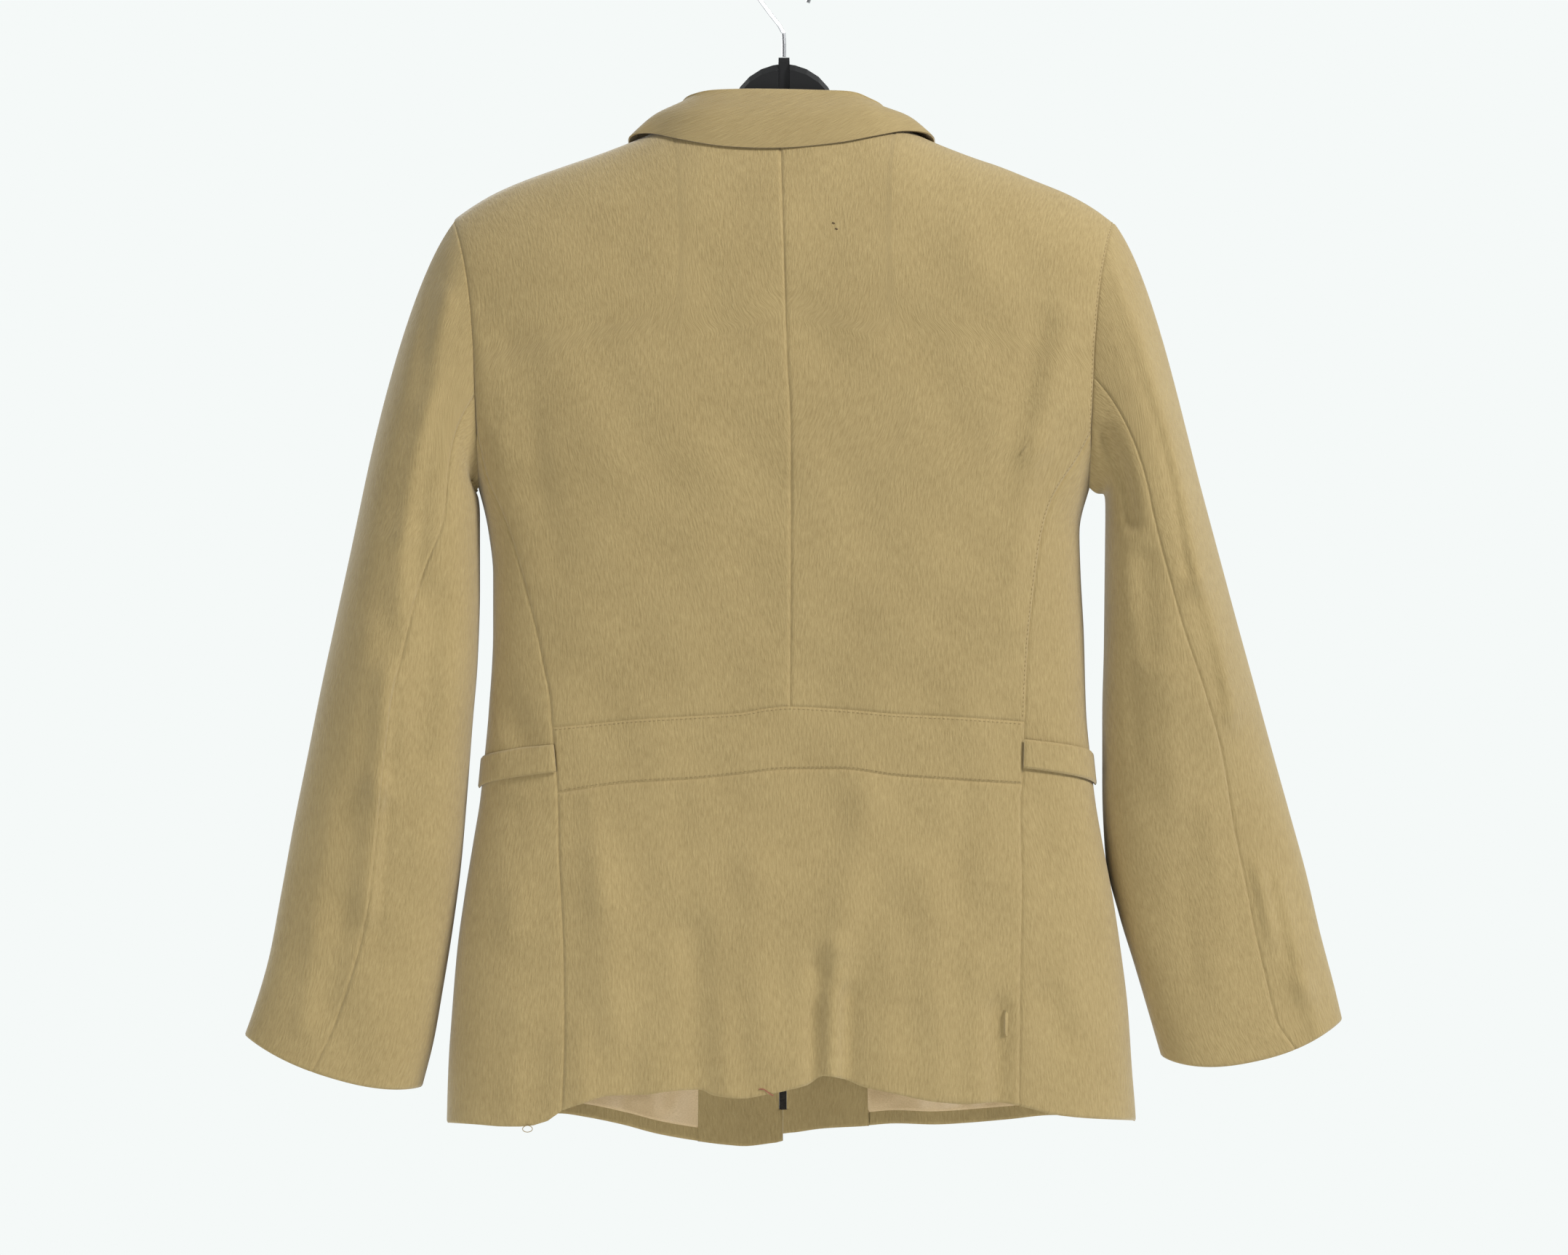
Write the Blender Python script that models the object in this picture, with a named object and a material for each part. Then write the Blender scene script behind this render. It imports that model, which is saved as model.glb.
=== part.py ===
"""Short wool jacket on a hanger, seen from the back.

The cloth pieces are thin walls cut from three surfaces: the torso tube, the two sleeves and the collar.
Sizes are in millimetres and go to metres when a mesh is written.
X runs across the back, Y runs from the back to the zipped front, Z is up.
The origin is the inside top of the hanger hook.
"""

import math

import bpy
import numpy as np

MM = 0.001

# Cloth and seam sizes.
WALL = 1.8
SEAM = 0.3
BELT_WALL = 2.0
FACING_WALL = 1.2
LINING_WALL = 1.0
COLLAR_WALL = 1.7

# The tables give x and z as they line up from straight behind, at this distance and eye level.
VIEW = 2010.0
EYE_LEVEL = -438.0
NEAR_FACE = -45.0

# Torso ring shape.
SQUARE = 3.2
CAP_LEVEL = -235.0
CAP_SPAN = 80.0

# Top of the upright core that every torso wall faces away from.
CORE_TOP = -200.0

# Armhole oval.
ARM_TOP = -171.0
ARM_LOW = -345.0
PRINCESS_AT = 126.0
FRONT_SEAM_AT = 234.0
SLEEVE_FRONT_AT = 250.0

# Zip.
ZIP_X = -0.7
ZIP_HALF = 2.4
ZIP_CLEAR = 2.75
ZIP_END = -756.0
NECK_FRONT = -190.0
SLIDER_HALF = 4.0
SLIDER_TOP = -197.0
SLIDER_LOW = -209.0
SLIDER_DEPTH = 2.6
PIN_LEVEL = -201.0
PIN_RISE = 2.5
PIN_HALF = 2.7
PIN_WIRE = 0.8
EYE_IN = 1.15
EYE_OUT = 2.0
EYE_HALF = 1.5
PULL_HALF = 2.4
PULL_DEPTH = 0.6
PULL_LONG = 22.0

# Hanger.
HOOK_WIRE = 1.45
HOOK_RADIUS = 18.5
NUB_TOP = -62.0
NUB_HALF = 3.6
DOME_RADIUS = 35.5
DOME_LEVEL = -101.8
ARM_REACH = 196.0
ARM_DEPTH = 13.0
ARM_HALF = 5.0

# level, left edge, right edge, centre, depth back, depth front
BODY = (
    (-90, -234, 233, -2, 50, 50),
    (-235, -234, 232, 1, 50, 51),
    (-290, -224, 223, 2, 52, 53),
    (-310, -216, 215, 2, 52, 54),
    (-330, -207, 207, 3, 52, 54),
    (-345, -202, 202, 3, 51, 54),
    (-375, -195, 195, 3, 50, 53),
    (-403, -192, 195.8, 4, 49, 51),
    (-440, -192, 197.8, 4, 47, 49),
    (-495, -195, 199.5, 4, 44, 46),
    (-522, -197.5, 202, 4, 44, 46),
    (-552, -200.6, 205.4, 3, 45, 47),
    (-579, -205, 210, 3, 46, 48),
    (-616, -211, 217, 3, 48, 50),
    (-649, -215.5, 222, 4, 49, 51),
    (-690, -219, 227, 4, 50, 52),
    (-727, -221.5, 229.5, 4, 51, 53),
    (-765, -222.6, 232.3, 5, 52, 54),
    (-790, -223, 233, 5, 52, 54),
)

# x, shoulder level
SHOULDER = (
    (-245, -190), (-220.2, -170.7), (-208, -161.8), (-193, -152.7), (-175, -144.5),
    (-149, -135), (-120, -125), (-98, -116.5), (-76, -107.5), (-50, -99), (0, -95),
    (50, -99), (76, -107.5), (99, -117.8), (128, -128.9), (139, -132.5), (167, -143.6),
    (187, -151.8), (205, -161.8), (217.2, -170.9), (245, -190),
)

# level, distance of the armhole edge from the middle
ARMHOLE = (
    (-345, 201), (-330, 202), (-308, 203.2), (-294, 203.8), (-270, 204.8), (-254, 205.4),
    (-235, 206.8), (-213, 209), (-200, 211), (-184, 214.4), (-171, 218),
)

# x, neckline level
NECK_BACK = ((-76, -107.5), (-60, -110), (-40, -111.6), (0, -112), (40, -111.6), (60, -110), (76, -107.5))
NECK_LEVEL = -112.0
NECK_HALF = 76.0
NECK_SIDE = -107.5
NECK_CURVE = 2.6

# level, x of the centre back seam
CENTRE_BACK = ((-112, -2.5), (-257, 2.1), (-312, 4.5), (-386, 4.5), (-490, 3.9))

# level, x of the curved back seam
PRINCESS = {
    -1: ((-309, -203.2), (-339.4, -196.3), (-363, -186), (-385.5, -178), (-415, -169.7),
         (-441, -163), (-463, -158.6), (-481, -155), (-504, -153), (-547, -149.5),
         (-589, -148.6), (-625.5, -146.7), (-662.5, -145.4), (-708, -145), (-757, -146.7)),
    1: ((-309, 203.2), (-328, 193), (-344, 182), (-355, 176.4), (-373.5, 171),
        (-395.6, 167.3), (-418, 164.5), (-443.6, 161.8), (-473, 160), (-500, 158.9),
        (-541.5, 157.4), (-552, 156.2), (-607, 157.2), (-662.5, 156.2), (-754, 155.3)),
}

# level, distance of the front side seam from the middle
FRONT_SEAM = ((-309, 203.2), (-345, 190), (-400, 180), (-450, 175), (-500, 173), (-550, 174),
              (-620, 178), (-760, 182))

# x, waist band top, waist band bottom
WAIST = (
    (-153, -504, -547.3), (-131, -502, -544), (-102, -499, -540.5), (-65, -496.7, -538.5),
    (-28, -494.3, -534.8), (-10, -491.2, -532.6), (3, -490.2, -531.7), (37, -491.8, -531.4),
    (73.6, -495, -536), (110, -496.8, -538.5), (159, -500.2, -541.5),
)

# Belt and seam levels on the back seam, at the side and on the front seam.
BELT_ROWS = {
    -1: ((-504, -513, -507), (-515, -524, -518), (-524, -534, -528), (-533.4, -544, -538),
         (-547.3, -557, -550)),
    1: ((-500.2, -511, -505), (-511.5, -521, -515), (-521, -531.5, -525), (-530.7, -542, -536),
        (-541.5, -552, -546)),
}

# x, back hem level
HEM_BACK = (
    (-240, -763.5), (-203, -766), (-184, -767.4), (-171.6, -767.4), (-157, -764), (-146.7, -757),
    (-135, -753), (-114.6, -747), (-92.5, -746.4), (-74, -744), (-55.8, -743), (-46.6, -747),
    (-28, -749), (-13.5, -746.7), (4.8, -743), (15.8, -740), (25, -734), (38.7, -735.7),
    (51.6, -741), (73.6, -745.9), (101, -751.4), (121, -752.7), (139.7, -751.4), (159, -754.5),
    (176.4, -759.3), (202, -762), (240, -763.5),
)

# x, front hem level
HEM_FRONT = (
    (-240, -763.5), (-148, -758.5), (-129.7, -761), (-106.7, -765.7), (-83.8, -771.8),
    (-60.8, -776), (-37.8, -779), (-25.6, -780), (-11.8, -778.5), (-1.2, -775.5), (-0.6, -772),
    (9.6, -770.3), (23.4, -768.3), (52.5, -766.5), (73.6, -765), (99, -765.7), (121, -764.6),
    (147, -762.4), (178, -759.5), (240, -763.5),
)

# Soft folds of the torso: face, from x, from z, to x, to z, half width, height
TORSO_FOLDS = (
    (-1, 185, -235, 167, -320, 11, 2.2),
    (-1, 167, -320, 154, -437, 12, 2.0),
    (-1, 171, -240, 150, -330, 10, -1.6),
    (-1, -197, -239, -187, -322, 10, 2.2),
    (-1, -180, -250, -165, -345, 13, -1.6),
    (-1, -192, -480, -172, -512, 9, -3.0),
    (-1, 23, -660, 23, -760, 8, -2.6),
    (-1, 34, -650, 33, -760, 8, 2.2),
    (-1, 44, -680, 42, -760, 7, -2.2),
    (-1, 54, -552, 37, -644, 13, 2.0),
    (-1, 141, -690, 141, -770, 8, -2.6),
    (-1, 174, -680, 188, -712, 7, -2.4),
    (-1, -120, -590, -114, -700, 15, 2.2),
    (-1, -175, -552, -180, -640, 9, 2.4),
    (-1, -60, -640, -56, -770, 12, -2.4),
    (-1, -20, -600, -14, -720, 14, 1.8),
    (-1, 96, -600, 104, -740, 14, 1.8),
    (1, -120, -300, -104, -480, 14, 2.0),
    (1, 112, -290, 98, -470, 14, 2.0),
    (1, -70, -600, -84, -770, 16, 2.4),
    (1, 74, -610, 90, -770, 16, 2.2),
)

# Sleeve rings: outer x, outer z, inner x, inner z, half depth, middle y, hem drop
SLEEVE = {
    -1: (
        (-277, -345, -200.6, -366, 44, -2, 0),
        (-286, -388, -200.6, -412, 45, -4, 0),
        (-296, -434, -202, -458, 45, -6, 0),
        (-305.5, -478, -205.5, -502, 43, -6, 0),
        (-314.5, -523, -209, -548, 39, -5, 0),
        (-323.6, -568, -213, -594, 35, -4, 0),
        (-332, -614, -218.5, -636, 31, -3, 2),
        (-340, -656, -225, -676, 28, -2, 5),
        (-350, -690, -231, -710, 26, -1, 9),
        (-356, -707, -238.8, -741, 25, 0, 12),
    ),
    1: (
        (276, -349, 212, -368, 44, 2, 0),
        (287, -390, 211.5, -412, 45, 4, 0),
        (298, -431, 211, -454, 45, 6, 0),
        (309, -471, 210, -496, 42, 9, 0),
        (321, -515, 210, -542, 38, 13, 0),
        (333, -558, 212, -588, 34, 15, 0),
        (344.6, -600, 221, -627, 30, 13, 2),
        (354, -640, 230.5, -658, 28, 10, 6),
        (363.5, -676, 240, -690, 26, 8, 12),
        (368.5, -697, 249, -721, 25, 6, 16),
    ),
}

# Back sleeve seam: way down the sleeve in rings, angle from the outer edge
SLEEVE_SEAM = {
    -1: ((0, 108), (1, 113), (2, 97), (3, 89), (4, 86), (7, 90), (8, 86), (9, 81), (10, 76)),
    1: ((0, 100), (1, 92), (2, 84), (3, 77), (4, 69), (5, 65), (6, 67), (8, 70), (9, 70), (10, 62)),
}

# Soft folds of the sleeves: face, from x, from z, to x, to z, half width, height
SLEEVE_FOLDS = {
    -1: (
        (-1, -225, -221, -238, -294, 8, 2.6),
        (-1, -238, -294, -249, -376, 8, 2.6),
        (-1, -229, -199, -240, -285, 6, -2.2),
        (-1, -262, -470, -268, -545, 10, 3.4),
        (-1, -268, -545, -276, -625, 10, 3.0),
        (-1, -230, -420, -238, -520, 11, -2.4),
        (1, -262, -380, -280, -560, 16, 2.4),
    ),
    1: (
        (-1, 218, -199, 240, -250, 7, 2.4),
        (-1, 240, -250, 257, -309, 7, 3.0),
        (-1, 257, -309, 274, -407, 8, 3.0),
        (-1, 274, -407, 298, -490, 9, 3.0),
        (-1, 213, -313, 229, -368, 6, -3.6),
        (-1, 237, -395, 240, -450, 10, -2.6),
        (-1, 313, -600, 321, -640, 7, 2.4),
        (-1, 326, -606, 344, -675, 8, 2.6),
        (-1, 344, -675, 355, -708, 7, 2.6),
        (1, 262, -380, 290, -560, 16, 2.4),
    ),
}

# Collar sections: face, base x, base z, roll x, roll y, roll z, edge x, edge z, lift
# A face of -1 is the back, 1 the front. The left half comes first, from the zip round to the back.
COLLAR = (
    (1, -4.6, -190, -5, 53, -170, -34, -236, 2.0),
    (1, -22, -186.2, -20, 52, -165, -52, -232, 2.0),
    (1, -44, -171, -38, 45, -150, -76, -210, 2.2),
    (1, -61, -147, -53, 33, -128, -91, -178, 2.4),
    (1, -71.5, -122, -63, 18, -106, -98, -146, 2.6),
    (1, -75, -113.5, -66, 10, -99, -100.2, -128, 3.2),
    (0, -76, -107.5, -67, 3, -93, -100.5, -117.7, 3.2),
    (-1, -68, -108.8, -62, -9, -87.5, -88, -113.8, 2.2),
    (-1, -54, -110.6, -50, -15, -84.4, -67, -117.0, 1.6),
    (-1, -32, -111.8, -30, -17, -83.4, -40, -121.0, 1.4),
    (-1, -3, -112, -3, -17.5, -83.6, -3, -122.2, 1.4),
    (-1, 28, -111.8, 26, -17, -84.2, 34, -119.0, 1.4),
    (-1, 50, -110.9, 45, -15, -85.2, 60, -114.6, 1.6),
    (-1, 66, -109.2, 58, -9, -90, 80, -112.2, 2.2),
    (0, 76, -107.5, 65, 3, -95, 96.5, -116.6, 3.2),
    (1, 75, -113.5, 64, 10, -100, 98, -128, 3.2),
    (1, 71.5, -122, 63, 18, -106, 98, -146, 2.6),
    (1, 61, -147, 53, 33, -128, 91, -178, 2.4),
    (1, 44, -171, 38, 45, -150, 76, -210, 2.2),
    (1, 22, -186.2, 20, 52, -165, 52, -232, 2.0),
    (1, 3.2, -190, 3.6, 53, -170, 33, -236, 2.0),
)

# name: colour, roughness, metallic
MATERIALS = {
    "wool_camel": ((0.392, 0.287, 0.146, 1), 0.95, 0.0),
    "satin_taupe": ((0.205, 0.150, 0.118, 1), 0.45, 0.0),
    "plastic_black": ((0.012, 0.012, 0.013, 1), 0.4, 0.0),
    "steel_wire": ((0.56, 0.56, 0.58, 1), 0.25, 1.0),
    "zip_dark_metal": ((0.09, 0.085, 0.08, 1), 0.4, 1.0),
}


def column(table, at, index):
    """Looks one column of a table up, its first column being the place."""
    rows = sorted((row[0], row[index]) for row in table)
    return np.interp(at, [row[0] for row in rows], [row[1] for row in rows])


def real(x, y, z):
    """Takes a point of the straight view at depth y to its true place, the hook's inside top staying at zero."""
    grow = 1 + (y - NEAR_FACE) / VIEW
    sink = EYE_LEVEL * NEAR_FACE / VIEW
    return np.stack([x * grow, y + 0 * x, EYE_LEVEL + (z - EYE_LEVEL) * grow - sink], axis=-1)


def folds(table, face, x, z):
    """Adds up the bell-shaped ridges and troughs of one face."""
    total = np.zeros(np.broadcast(x, z).shape)
    for side, x1, z1, x2, z2, half, height in table:
        along = np.array([x2 - x1, z2 - z1], float)
        length = float(along @ along)
        part = np.clip(((x - x1) * along[0] + (z - z1) * along[1]) / length, 0, 1)
        away = np.hypot(x - x1 - part * along[0], z - z1 - part * along[1])
        total += np.where(face == side, height * np.exp(-((away / half) ** 2)), 0)
    return total


def half_width(level, x_sign):
    centre = column(BODY, level, 3)
    left = centre - column(BODY, level, 1)
    right = column(BODY, level, 2) - centre
    return np.where(x_sign < 0, left, right)


def torso_seen(turn, height):
    """Point of the torso: turn is the angle round from the centre back, height its ring.

    Each ring is a squared oval, and above the cap level it leans in to the shoulder line on a quarter oval.
    """
    level = np.minimum(height, CAP_LEVEL)
    lean = np.clip((height - CAP_LEVEL) / CAP_SPAN, 0, 1) * math.pi / 2
    sine, cosine = np.sin(turn), np.cos(turn)
    ring = (np.abs(sine) ** SQUARE + np.abs(cosine) ** SQUARE) ** (1 / SQUARE)
    across, deep = sine / ring, cosine / ring
    x = column(BODY, level, 3) + half_width(level, sine) * across
    depth = np.where(deep > 0, column(BODY, level, 4), column(BODY, level, 5))
    z = np.where(height > CAP_LEVEL, CAP_LEVEL + (column(SHOULDER, x, 1) - CAP_LEVEL) * np.sin(lean), height)
    face = np.where(deep > 0, -1, 1)
    bump = folds(TORSO_FOLDS, face, x, z)
    y = -deep * np.cos(lean) * (depth + bump)
    return x, y, z


def torso(turn, height):
    return real(*torso_seen(turn, height))


def on_torso(face, x, z, side=0):
    """Turn and height of the torso point that shows at x, z on the back (-1) or the front (1).

    A side of -1 or 1 keeps the turns of a front panel together across the centre front.
    """
    x, z = np.asarray(x, float), np.asarray(z, float)
    level = np.minimum(z, CAP_LEVEL)
    offset = x - column(BODY, level, 3)
    across = np.clip(offset / half_width(level, offset), -1, 1)
    deep = (1 - np.abs(across) ** SQUARE) ** (1 / SQUARE)
    turn = np.arctan2(across, deep)
    half_turn = np.where(turn < 0, -math.pi, math.pi) if side == 0 else side * math.pi
    turn = np.where(np.asarray(face) > 0, half_turn - turn, turn)
    top = column(SHOULDER, x, 1)
    rise = np.clip((z - CAP_LEVEL) / (top - CAP_LEVEL), 0, 1)
    height = np.where(z > CAP_LEVEL, CAP_LEVEL + CAP_SPAN * np.arcsin(rise) / (math.pi / 2), z)
    return np.stack([turn, height], axis=-1)


def armhole(side, angle):
    """Turn and height on the armhole, angle in degrees from the shoulder over the back."""
    angle = np.asarray(angle, float)
    middle, reach = (ARM_TOP + ARM_LOW) / 2, (ARM_TOP - ARM_LOW) / 2
    z = middle + reach * np.cos(np.radians(angle))
    x = side * column(ARMHOLE, z, 1)
    face = np.where(angle <= 180, -1, 1)
    # The lowest point lies on the very side of the ring and the highest on the shoulder line.
    low = np.abs(angle - 180) < 0.01
    x = np.where(low, side * 260, x)
    spot = on_torso(face, x, z)
    spot[..., 1] = np.where((angle < 0.01) | (angle > 359.99), CAP_LEVEL + CAP_SPAN, spot[..., 1])
    spot[..., 0] = np.where(low, side * math.pi / 2, spot[..., 0])
    return spot


def normals(surface, u, v, du, dv):
    """Unit normals of a surface by small steps on both of its measures."""
    along = surface(u + du, v) - surface(u - du, v)
    down = surface(u, v + dv) - surface(u, v - dv)
    cross = np.cross(along, down)
    return cross / np.linalg.norm(cross, axis=-1, keepdims=True)


def torso_shell(grid, out, depth):
    """Two walls of a torso panel, out and out - depth from the torso."""
    turn, height = grid[..., 0], grid[..., 1]
    height = np.minimum(height, CAP_LEVEL + CAP_SPAN - 0.05)
    outward = normals(torso, turn, height, 2e-3, 0.04)
    middle = torso(turn, height)
    from_core = middle - np.array([0, 0, CORE_TOP])
    from_core[..., 2] = np.maximum(from_core[..., 2], 0)
    outward *= np.sign((outward * from_core).sum(axis=-1, keepdims=True))
    return middle + outward * out, middle + outward * (out - depth)


def pulled_in(wall, sides, by):
    """Moves the named edges of a wall in: t, b, l and r, or R for the right edge below the armhole."""
    moved = wall.copy()
    if "t" in sides:
        moved[0] += by * unit(wall[1] - wall[0])
    if "b" in sides:
        moved[-1] += by * unit(wall[-2] - wall[-1])
    if "l" in sides:
        moved[:, 0] += by * unit(wall[:, 1] - wall[:, 0])
    if "r" in sides:
        moved[:, -1] += by * unit(wall[:, -2] - wall[:, -1])
    if "R" in sides:
        low = slice(ARMHOLE_ROWS, None)
        moved[low, -1] += by * unit(wall[low, -2] - wall[low, -1])
    return moved


def unit(vector):
    return vector / np.linalg.norm(vector, axis=-1, keepdims=True)


def patch(top, bottom, left, right, steps=None):
    """Fills four edge lines with a grid, rows from top to bottom."""
    rows, columns = len(left), len(top)
    down = np.linspace(0, 1, rows) if steps is None else np.asarray(steps)
    down = down[:, None, None]
    over = np.linspace(0, 1, columns)[None, :, None]
    corners = (
        (1 - down) * (1 - over) * top[0] + (1 - down) * over * top[-1]
        + down * (1 - over) * bottom[0] + down * over * bottom[-1]
    )
    lines = (1 - down) * top[None] + down * bottom[None] + (1 - over) * left[:, None] + over * right[:, None]
    return lines - corners


def add_mesh(name, points, faces, material, smooth=40):
    """Writes one closed mesh, turned to face outwards, with its material."""
    points, faces = np.asarray(points, float), np.asarray(faces, int)
    corners = points[faces[:, :3]]
    if np.linalg.det(corners).sum() < 0:
        faces = faces[:, ::-1]
    mesh = bpy.data.meshes.new(name)
    mesh.from_pydata((points * MM).tolist(), [], faces.tolist())
    mesh.polygons.foreach_set("use_smooth", [True] * len(mesh.polygons))
    mesh.set_sharp_from_angle(angle=math.radians(smooth))
    mesh.update()
    mesh.materials.append(bpy.data.materials[material])
    item = bpy.data.objects.new(name, mesh)
    bpy.context.scene.collection.objects.link(item)
    return item


def slab_faces(rows, columns):
    """Triangles of a closed slab whose points are two grids, the outer first."""
    index = np.arange(rows * columns).reshape(rows, columns)
    a, b = index[:-1, :-1].ravel(), index[:-1, 1:].ravel()
    c, d = index[1:, 1:].ravel(), index[1:, :-1].ravel()
    outer = np.concatenate([np.stack([a, b, c], 1), np.stack([a, c, d], 1)])
    inner = outer[:, ::-1] + rows * columns
    loop = np.concatenate([index[0, :-1], index[:-1, -1], index[-1, :0:-1], index[:0:-1, 0]])
    after = np.roll(loop, -1)
    far = rows * columns
    rim = np.concatenate([
        np.stack([after, loop, loop + far], 1),
        np.stack([after, loop + far, after + far], 1),
    ])
    return np.concatenate([outer, inner, rim])


def add_slab(name, outer, inner, material):
    rows, columns = outer.shape[:2]
    points = np.concatenate([outer.reshape(-1, 3), inner.reshape(-1, 3)])
    return add_mesh(name, points, slab_faces(rows, columns), material)


def add_panel(name, grid, edges, material="wool_camel", out=0.0, depth=WALL, by=SEAM / 2):
    outer, inner = torso_shell(grid, out, depth)
    return add_slab(name, pulled_in(outer, edges, by), pulled_in(inner, edges, by), material)


def add_tube(name, rings, material):
    """Closes a row of rings, each with the same number of points, with a fan at each end."""
    rings = np.asarray(rings, float)
    count, size = rings.shape[:2]
    faces = []
    for i in range(count - 1):
        for j in range(size):
            k = (j + 1) % size
            a, b = i * size + j, i * size + k
            c, d = (i + 1) * size + k, (i + 1) * size + j
            faces += [(a, b, c), (a, c, d)]
    last = (count - 1) * size
    for j in range(1, size - 1):
        faces.append((0, j + 1, j))
        faces.append((last, last + j, last + j + 1))
    return add_mesh(name, rings.reshape(-1, 3), faces, material)


def seam_angle(side):
    return SLEEVE_SEAM[side][0][1]


def back_angles(side):
    """Armhole angles from the shoulder to the curved back seam, finer at the shoulder."""
    seam = seam_angle(side)
    return np.array([0, 7, 18, 33, 50, 68, 86, seam, (seam + PRINCESS_AT) / 2, PRINCESS_AT], float)


def front_angles():
    return np.array([FRONT_SEAM_AT, SLEEVE_FRONT_AT, 270, 288, 305, 320, 334, 345, 353, 360], float)


def low_angles():
    return np.linspace(PRINCESS_AT, FRONT_SEAM_AT, 9)


ARMHOLE_ROWS = 9
UPPER_ROWS = 7
SKIRT_ROWS = 10
NECK_COLUMNS = 4
SHOULDER_COLUMNS = 6
COLUMNS = NECK_COLUMNS + SHOULDER_COLUMNS
FACING_COLUMNS = 3
LINING_ROW = 12
LINING_RISE = 9.0


def side_levels(side, which):
    """Levels of the side panel rows below the armhole: 0 on the back seam, 1 at the side, 2 on the front seam."""
    middle, reach = (ARM_TOP + ARM_LOW) / 2, (ARM_TOP - ARM_LOW) / 2
    start = middle + reach * math.cos(math.radians(PRINCESS_AT)) if which != 1 else ARM_LOW
    belt = [row[which] for row in BELT_ROWS[side]]
    back_end = column(HEM_BACK, column(PRINCESS[side], -754, 1), 1)
    front_end = column(HEM_FRONT, side * column(FRONT_SEAM, -760, 1), 1)
    end = (back_end, -763.5, front_end)[which]
    upper = np.linspace(start, belt[0], UPPER_ROWS + 1)
    lower = np.linspace(belt[-1], end, SKIRT_ROWS + 1)
    return np.concatenate([upper, belt[1:-1], lower])


def back_seam(side):
    z = side_levels(side, 0)
    return on_torso(-1, column(PRINCESS[side], z, 1), z)


def front_seam(side):
    z = side_levels(side, 2)
    return on_torso(1, side * column(FRONT_SEAM, z, 1), z)


def shoulder_line(side, face):
    """Points of the shoulder seam from the neck out."""
    tip = side * column(ARMHOLE, ARM_TOP, 1)
    x = np.linspace(side * NECK_HALF, tip, SHOULDER_COLUMNS + 1)
    spots = on_torso(face, x, column(SHOULDER, x, 1))
    spots[:, 1] = CAP_LEVEL + CAP_SPAN
    return spots


def row_steps(levels):
    return (levels - levels[0]) / (levels[-1] - levels[0])


def arm_levels(angles):
    return (ARM_TOP + ARM_LOW) / 2 + (ARM_TOP - ARM_LOW) / 2 * np.cos(np.radians(angles))


def back_top(side):
    x = np.linspace(column(CENTRE_BACK, NECK_LEVEL, 1), side * NECK_HALF, NECK_COLUMNS + 1)
    neck = on_torso(-1, x, column(NECK_BACK, x, 1))
    neck[-1, 1] = CAP_LEVEL + CAP_SPAN
    return np.concatenate([neck, shoulder_line(side, -1)[1:]])


def waist_line(side, index):
    """Waist band seam from the centre back out, index 1 its top and 2 its bottom."""
    level = (BELT_ROWS[side][0][0], BELT_ROWS[side][-1][0])[index - 1]
    x = np.linspace(column(CENTRE_BACK, -490, 1), column(PRINCESS[side], level, 1), COLUMNS + 1)
    z = column(WAIST, x, index)
    z[-1] = level
    return on_torso(-1, x, z)


def hem_line_back(side):
    end = side_levels(side, 0)[-1]
    x = np.linspace(column(CENTRE_BACK, -490, 1), column(PRINCESS[side], end, 1), COLUMNS + 1)
    z = column(HEM_BACK, x, 1)
    z[-1] = end
    return on_torso(-1, x, z)


def back_panel(side):
    top, bottom = back_top(side), waist_line(side, 1)
    angles = back_angles(side)
    edge = np.concatenate([armhole(side, angles), back_seam(side)[1:UPPER_ROWS + 1]])
    levels = np.concatenate([arm_levels(angles), side_levels(side, 0)[1:UPPER_ROWS + 1]])
    steps = row_steps(levels)
    z = NECK_LEVEL + steps * (column(WAIST, 3.9, 1) - NECK_LEVEL)
    x = column(CENTRE_BACK, z, 1)
    return patch(top, bottom, on_torso(-1, x, z), edge, steps)


def band_half(side):
    """Half of the waist band, its outer edge on the side panel's rows."""
    top, bottom = waist_line(side, 1), waist_line(side, 2)
    outer = back_seam(side)[UPPER_ROWS:UPPER_ROWS + 5]
    steps = row_steps(outer[:, 1])
    inner = top[0] + steps[:, None] * (bottom[0] - top[0])
    return patch(top, bottom, inner, outer, steps)


def skirt_half(side):
    top, bottom = waist_line(side, 2), hem_line_back(side)
    outer = back_seam(side)[UPPER_ROWS + 4:]
    steps = row_steps(outer[:, 1])
    inner = top[0] + steps[:, None] * (bottom[0] - top[0])
    return patch(top, bottom, inner, outer, steps)


def joined(half_of):
    """Both halves of a piece that crosses the centre back."""
    return np.concatenate([half_of(-1)[:, :0:-1], half_of(1)], axis=1)


def side_panel(side):
    """Side panel from the back seam round to the front seam."""
    back, front = back_seam(side), front_seam(side)
    top = armhole(side, low_angles())
    levels = side_levels(side, 1)
    rows = []
    over = np.linspace(0, 1, len(top))
    for i in range(len(back)):
        if i == 0:
            rows.append(top)
            continue
        turn = back[i, 0] + over * (front[i, 0] - back[i, 0])
        bend = 1 - np.abs(2 * over - 1) ** 1.6
        height = back[i, 1] + over * (front[i, 1] - back[i, 1])
        middle = (back[i, 1] + front[i, 1]) / 2
        height = height + bend * (levels[i] - middle)
        rows.append(np.stack([turn, height], axis=-1))
    return np.array(rows)


def front_neck(side, first):
    """Front neckline from the zip out to the shoulder."""
    x = np.linspace(first, side * NECK_HALF, NECK_COLUMNS + 1)
    x[1:-1] = side * NECK_HALF * np.array([0.42, 0.72, 0.92])
    z = NECK_FRONT + (NECK_SIDE - NECK_FRONT) * np.abs(x / NECK_HALF) ** NECK_CURVE
    spots = on_torso(1, x, z, side)
    spots[-1, 1] = CAP_LEVEL + CAP_SPAN
    return spots


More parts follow.
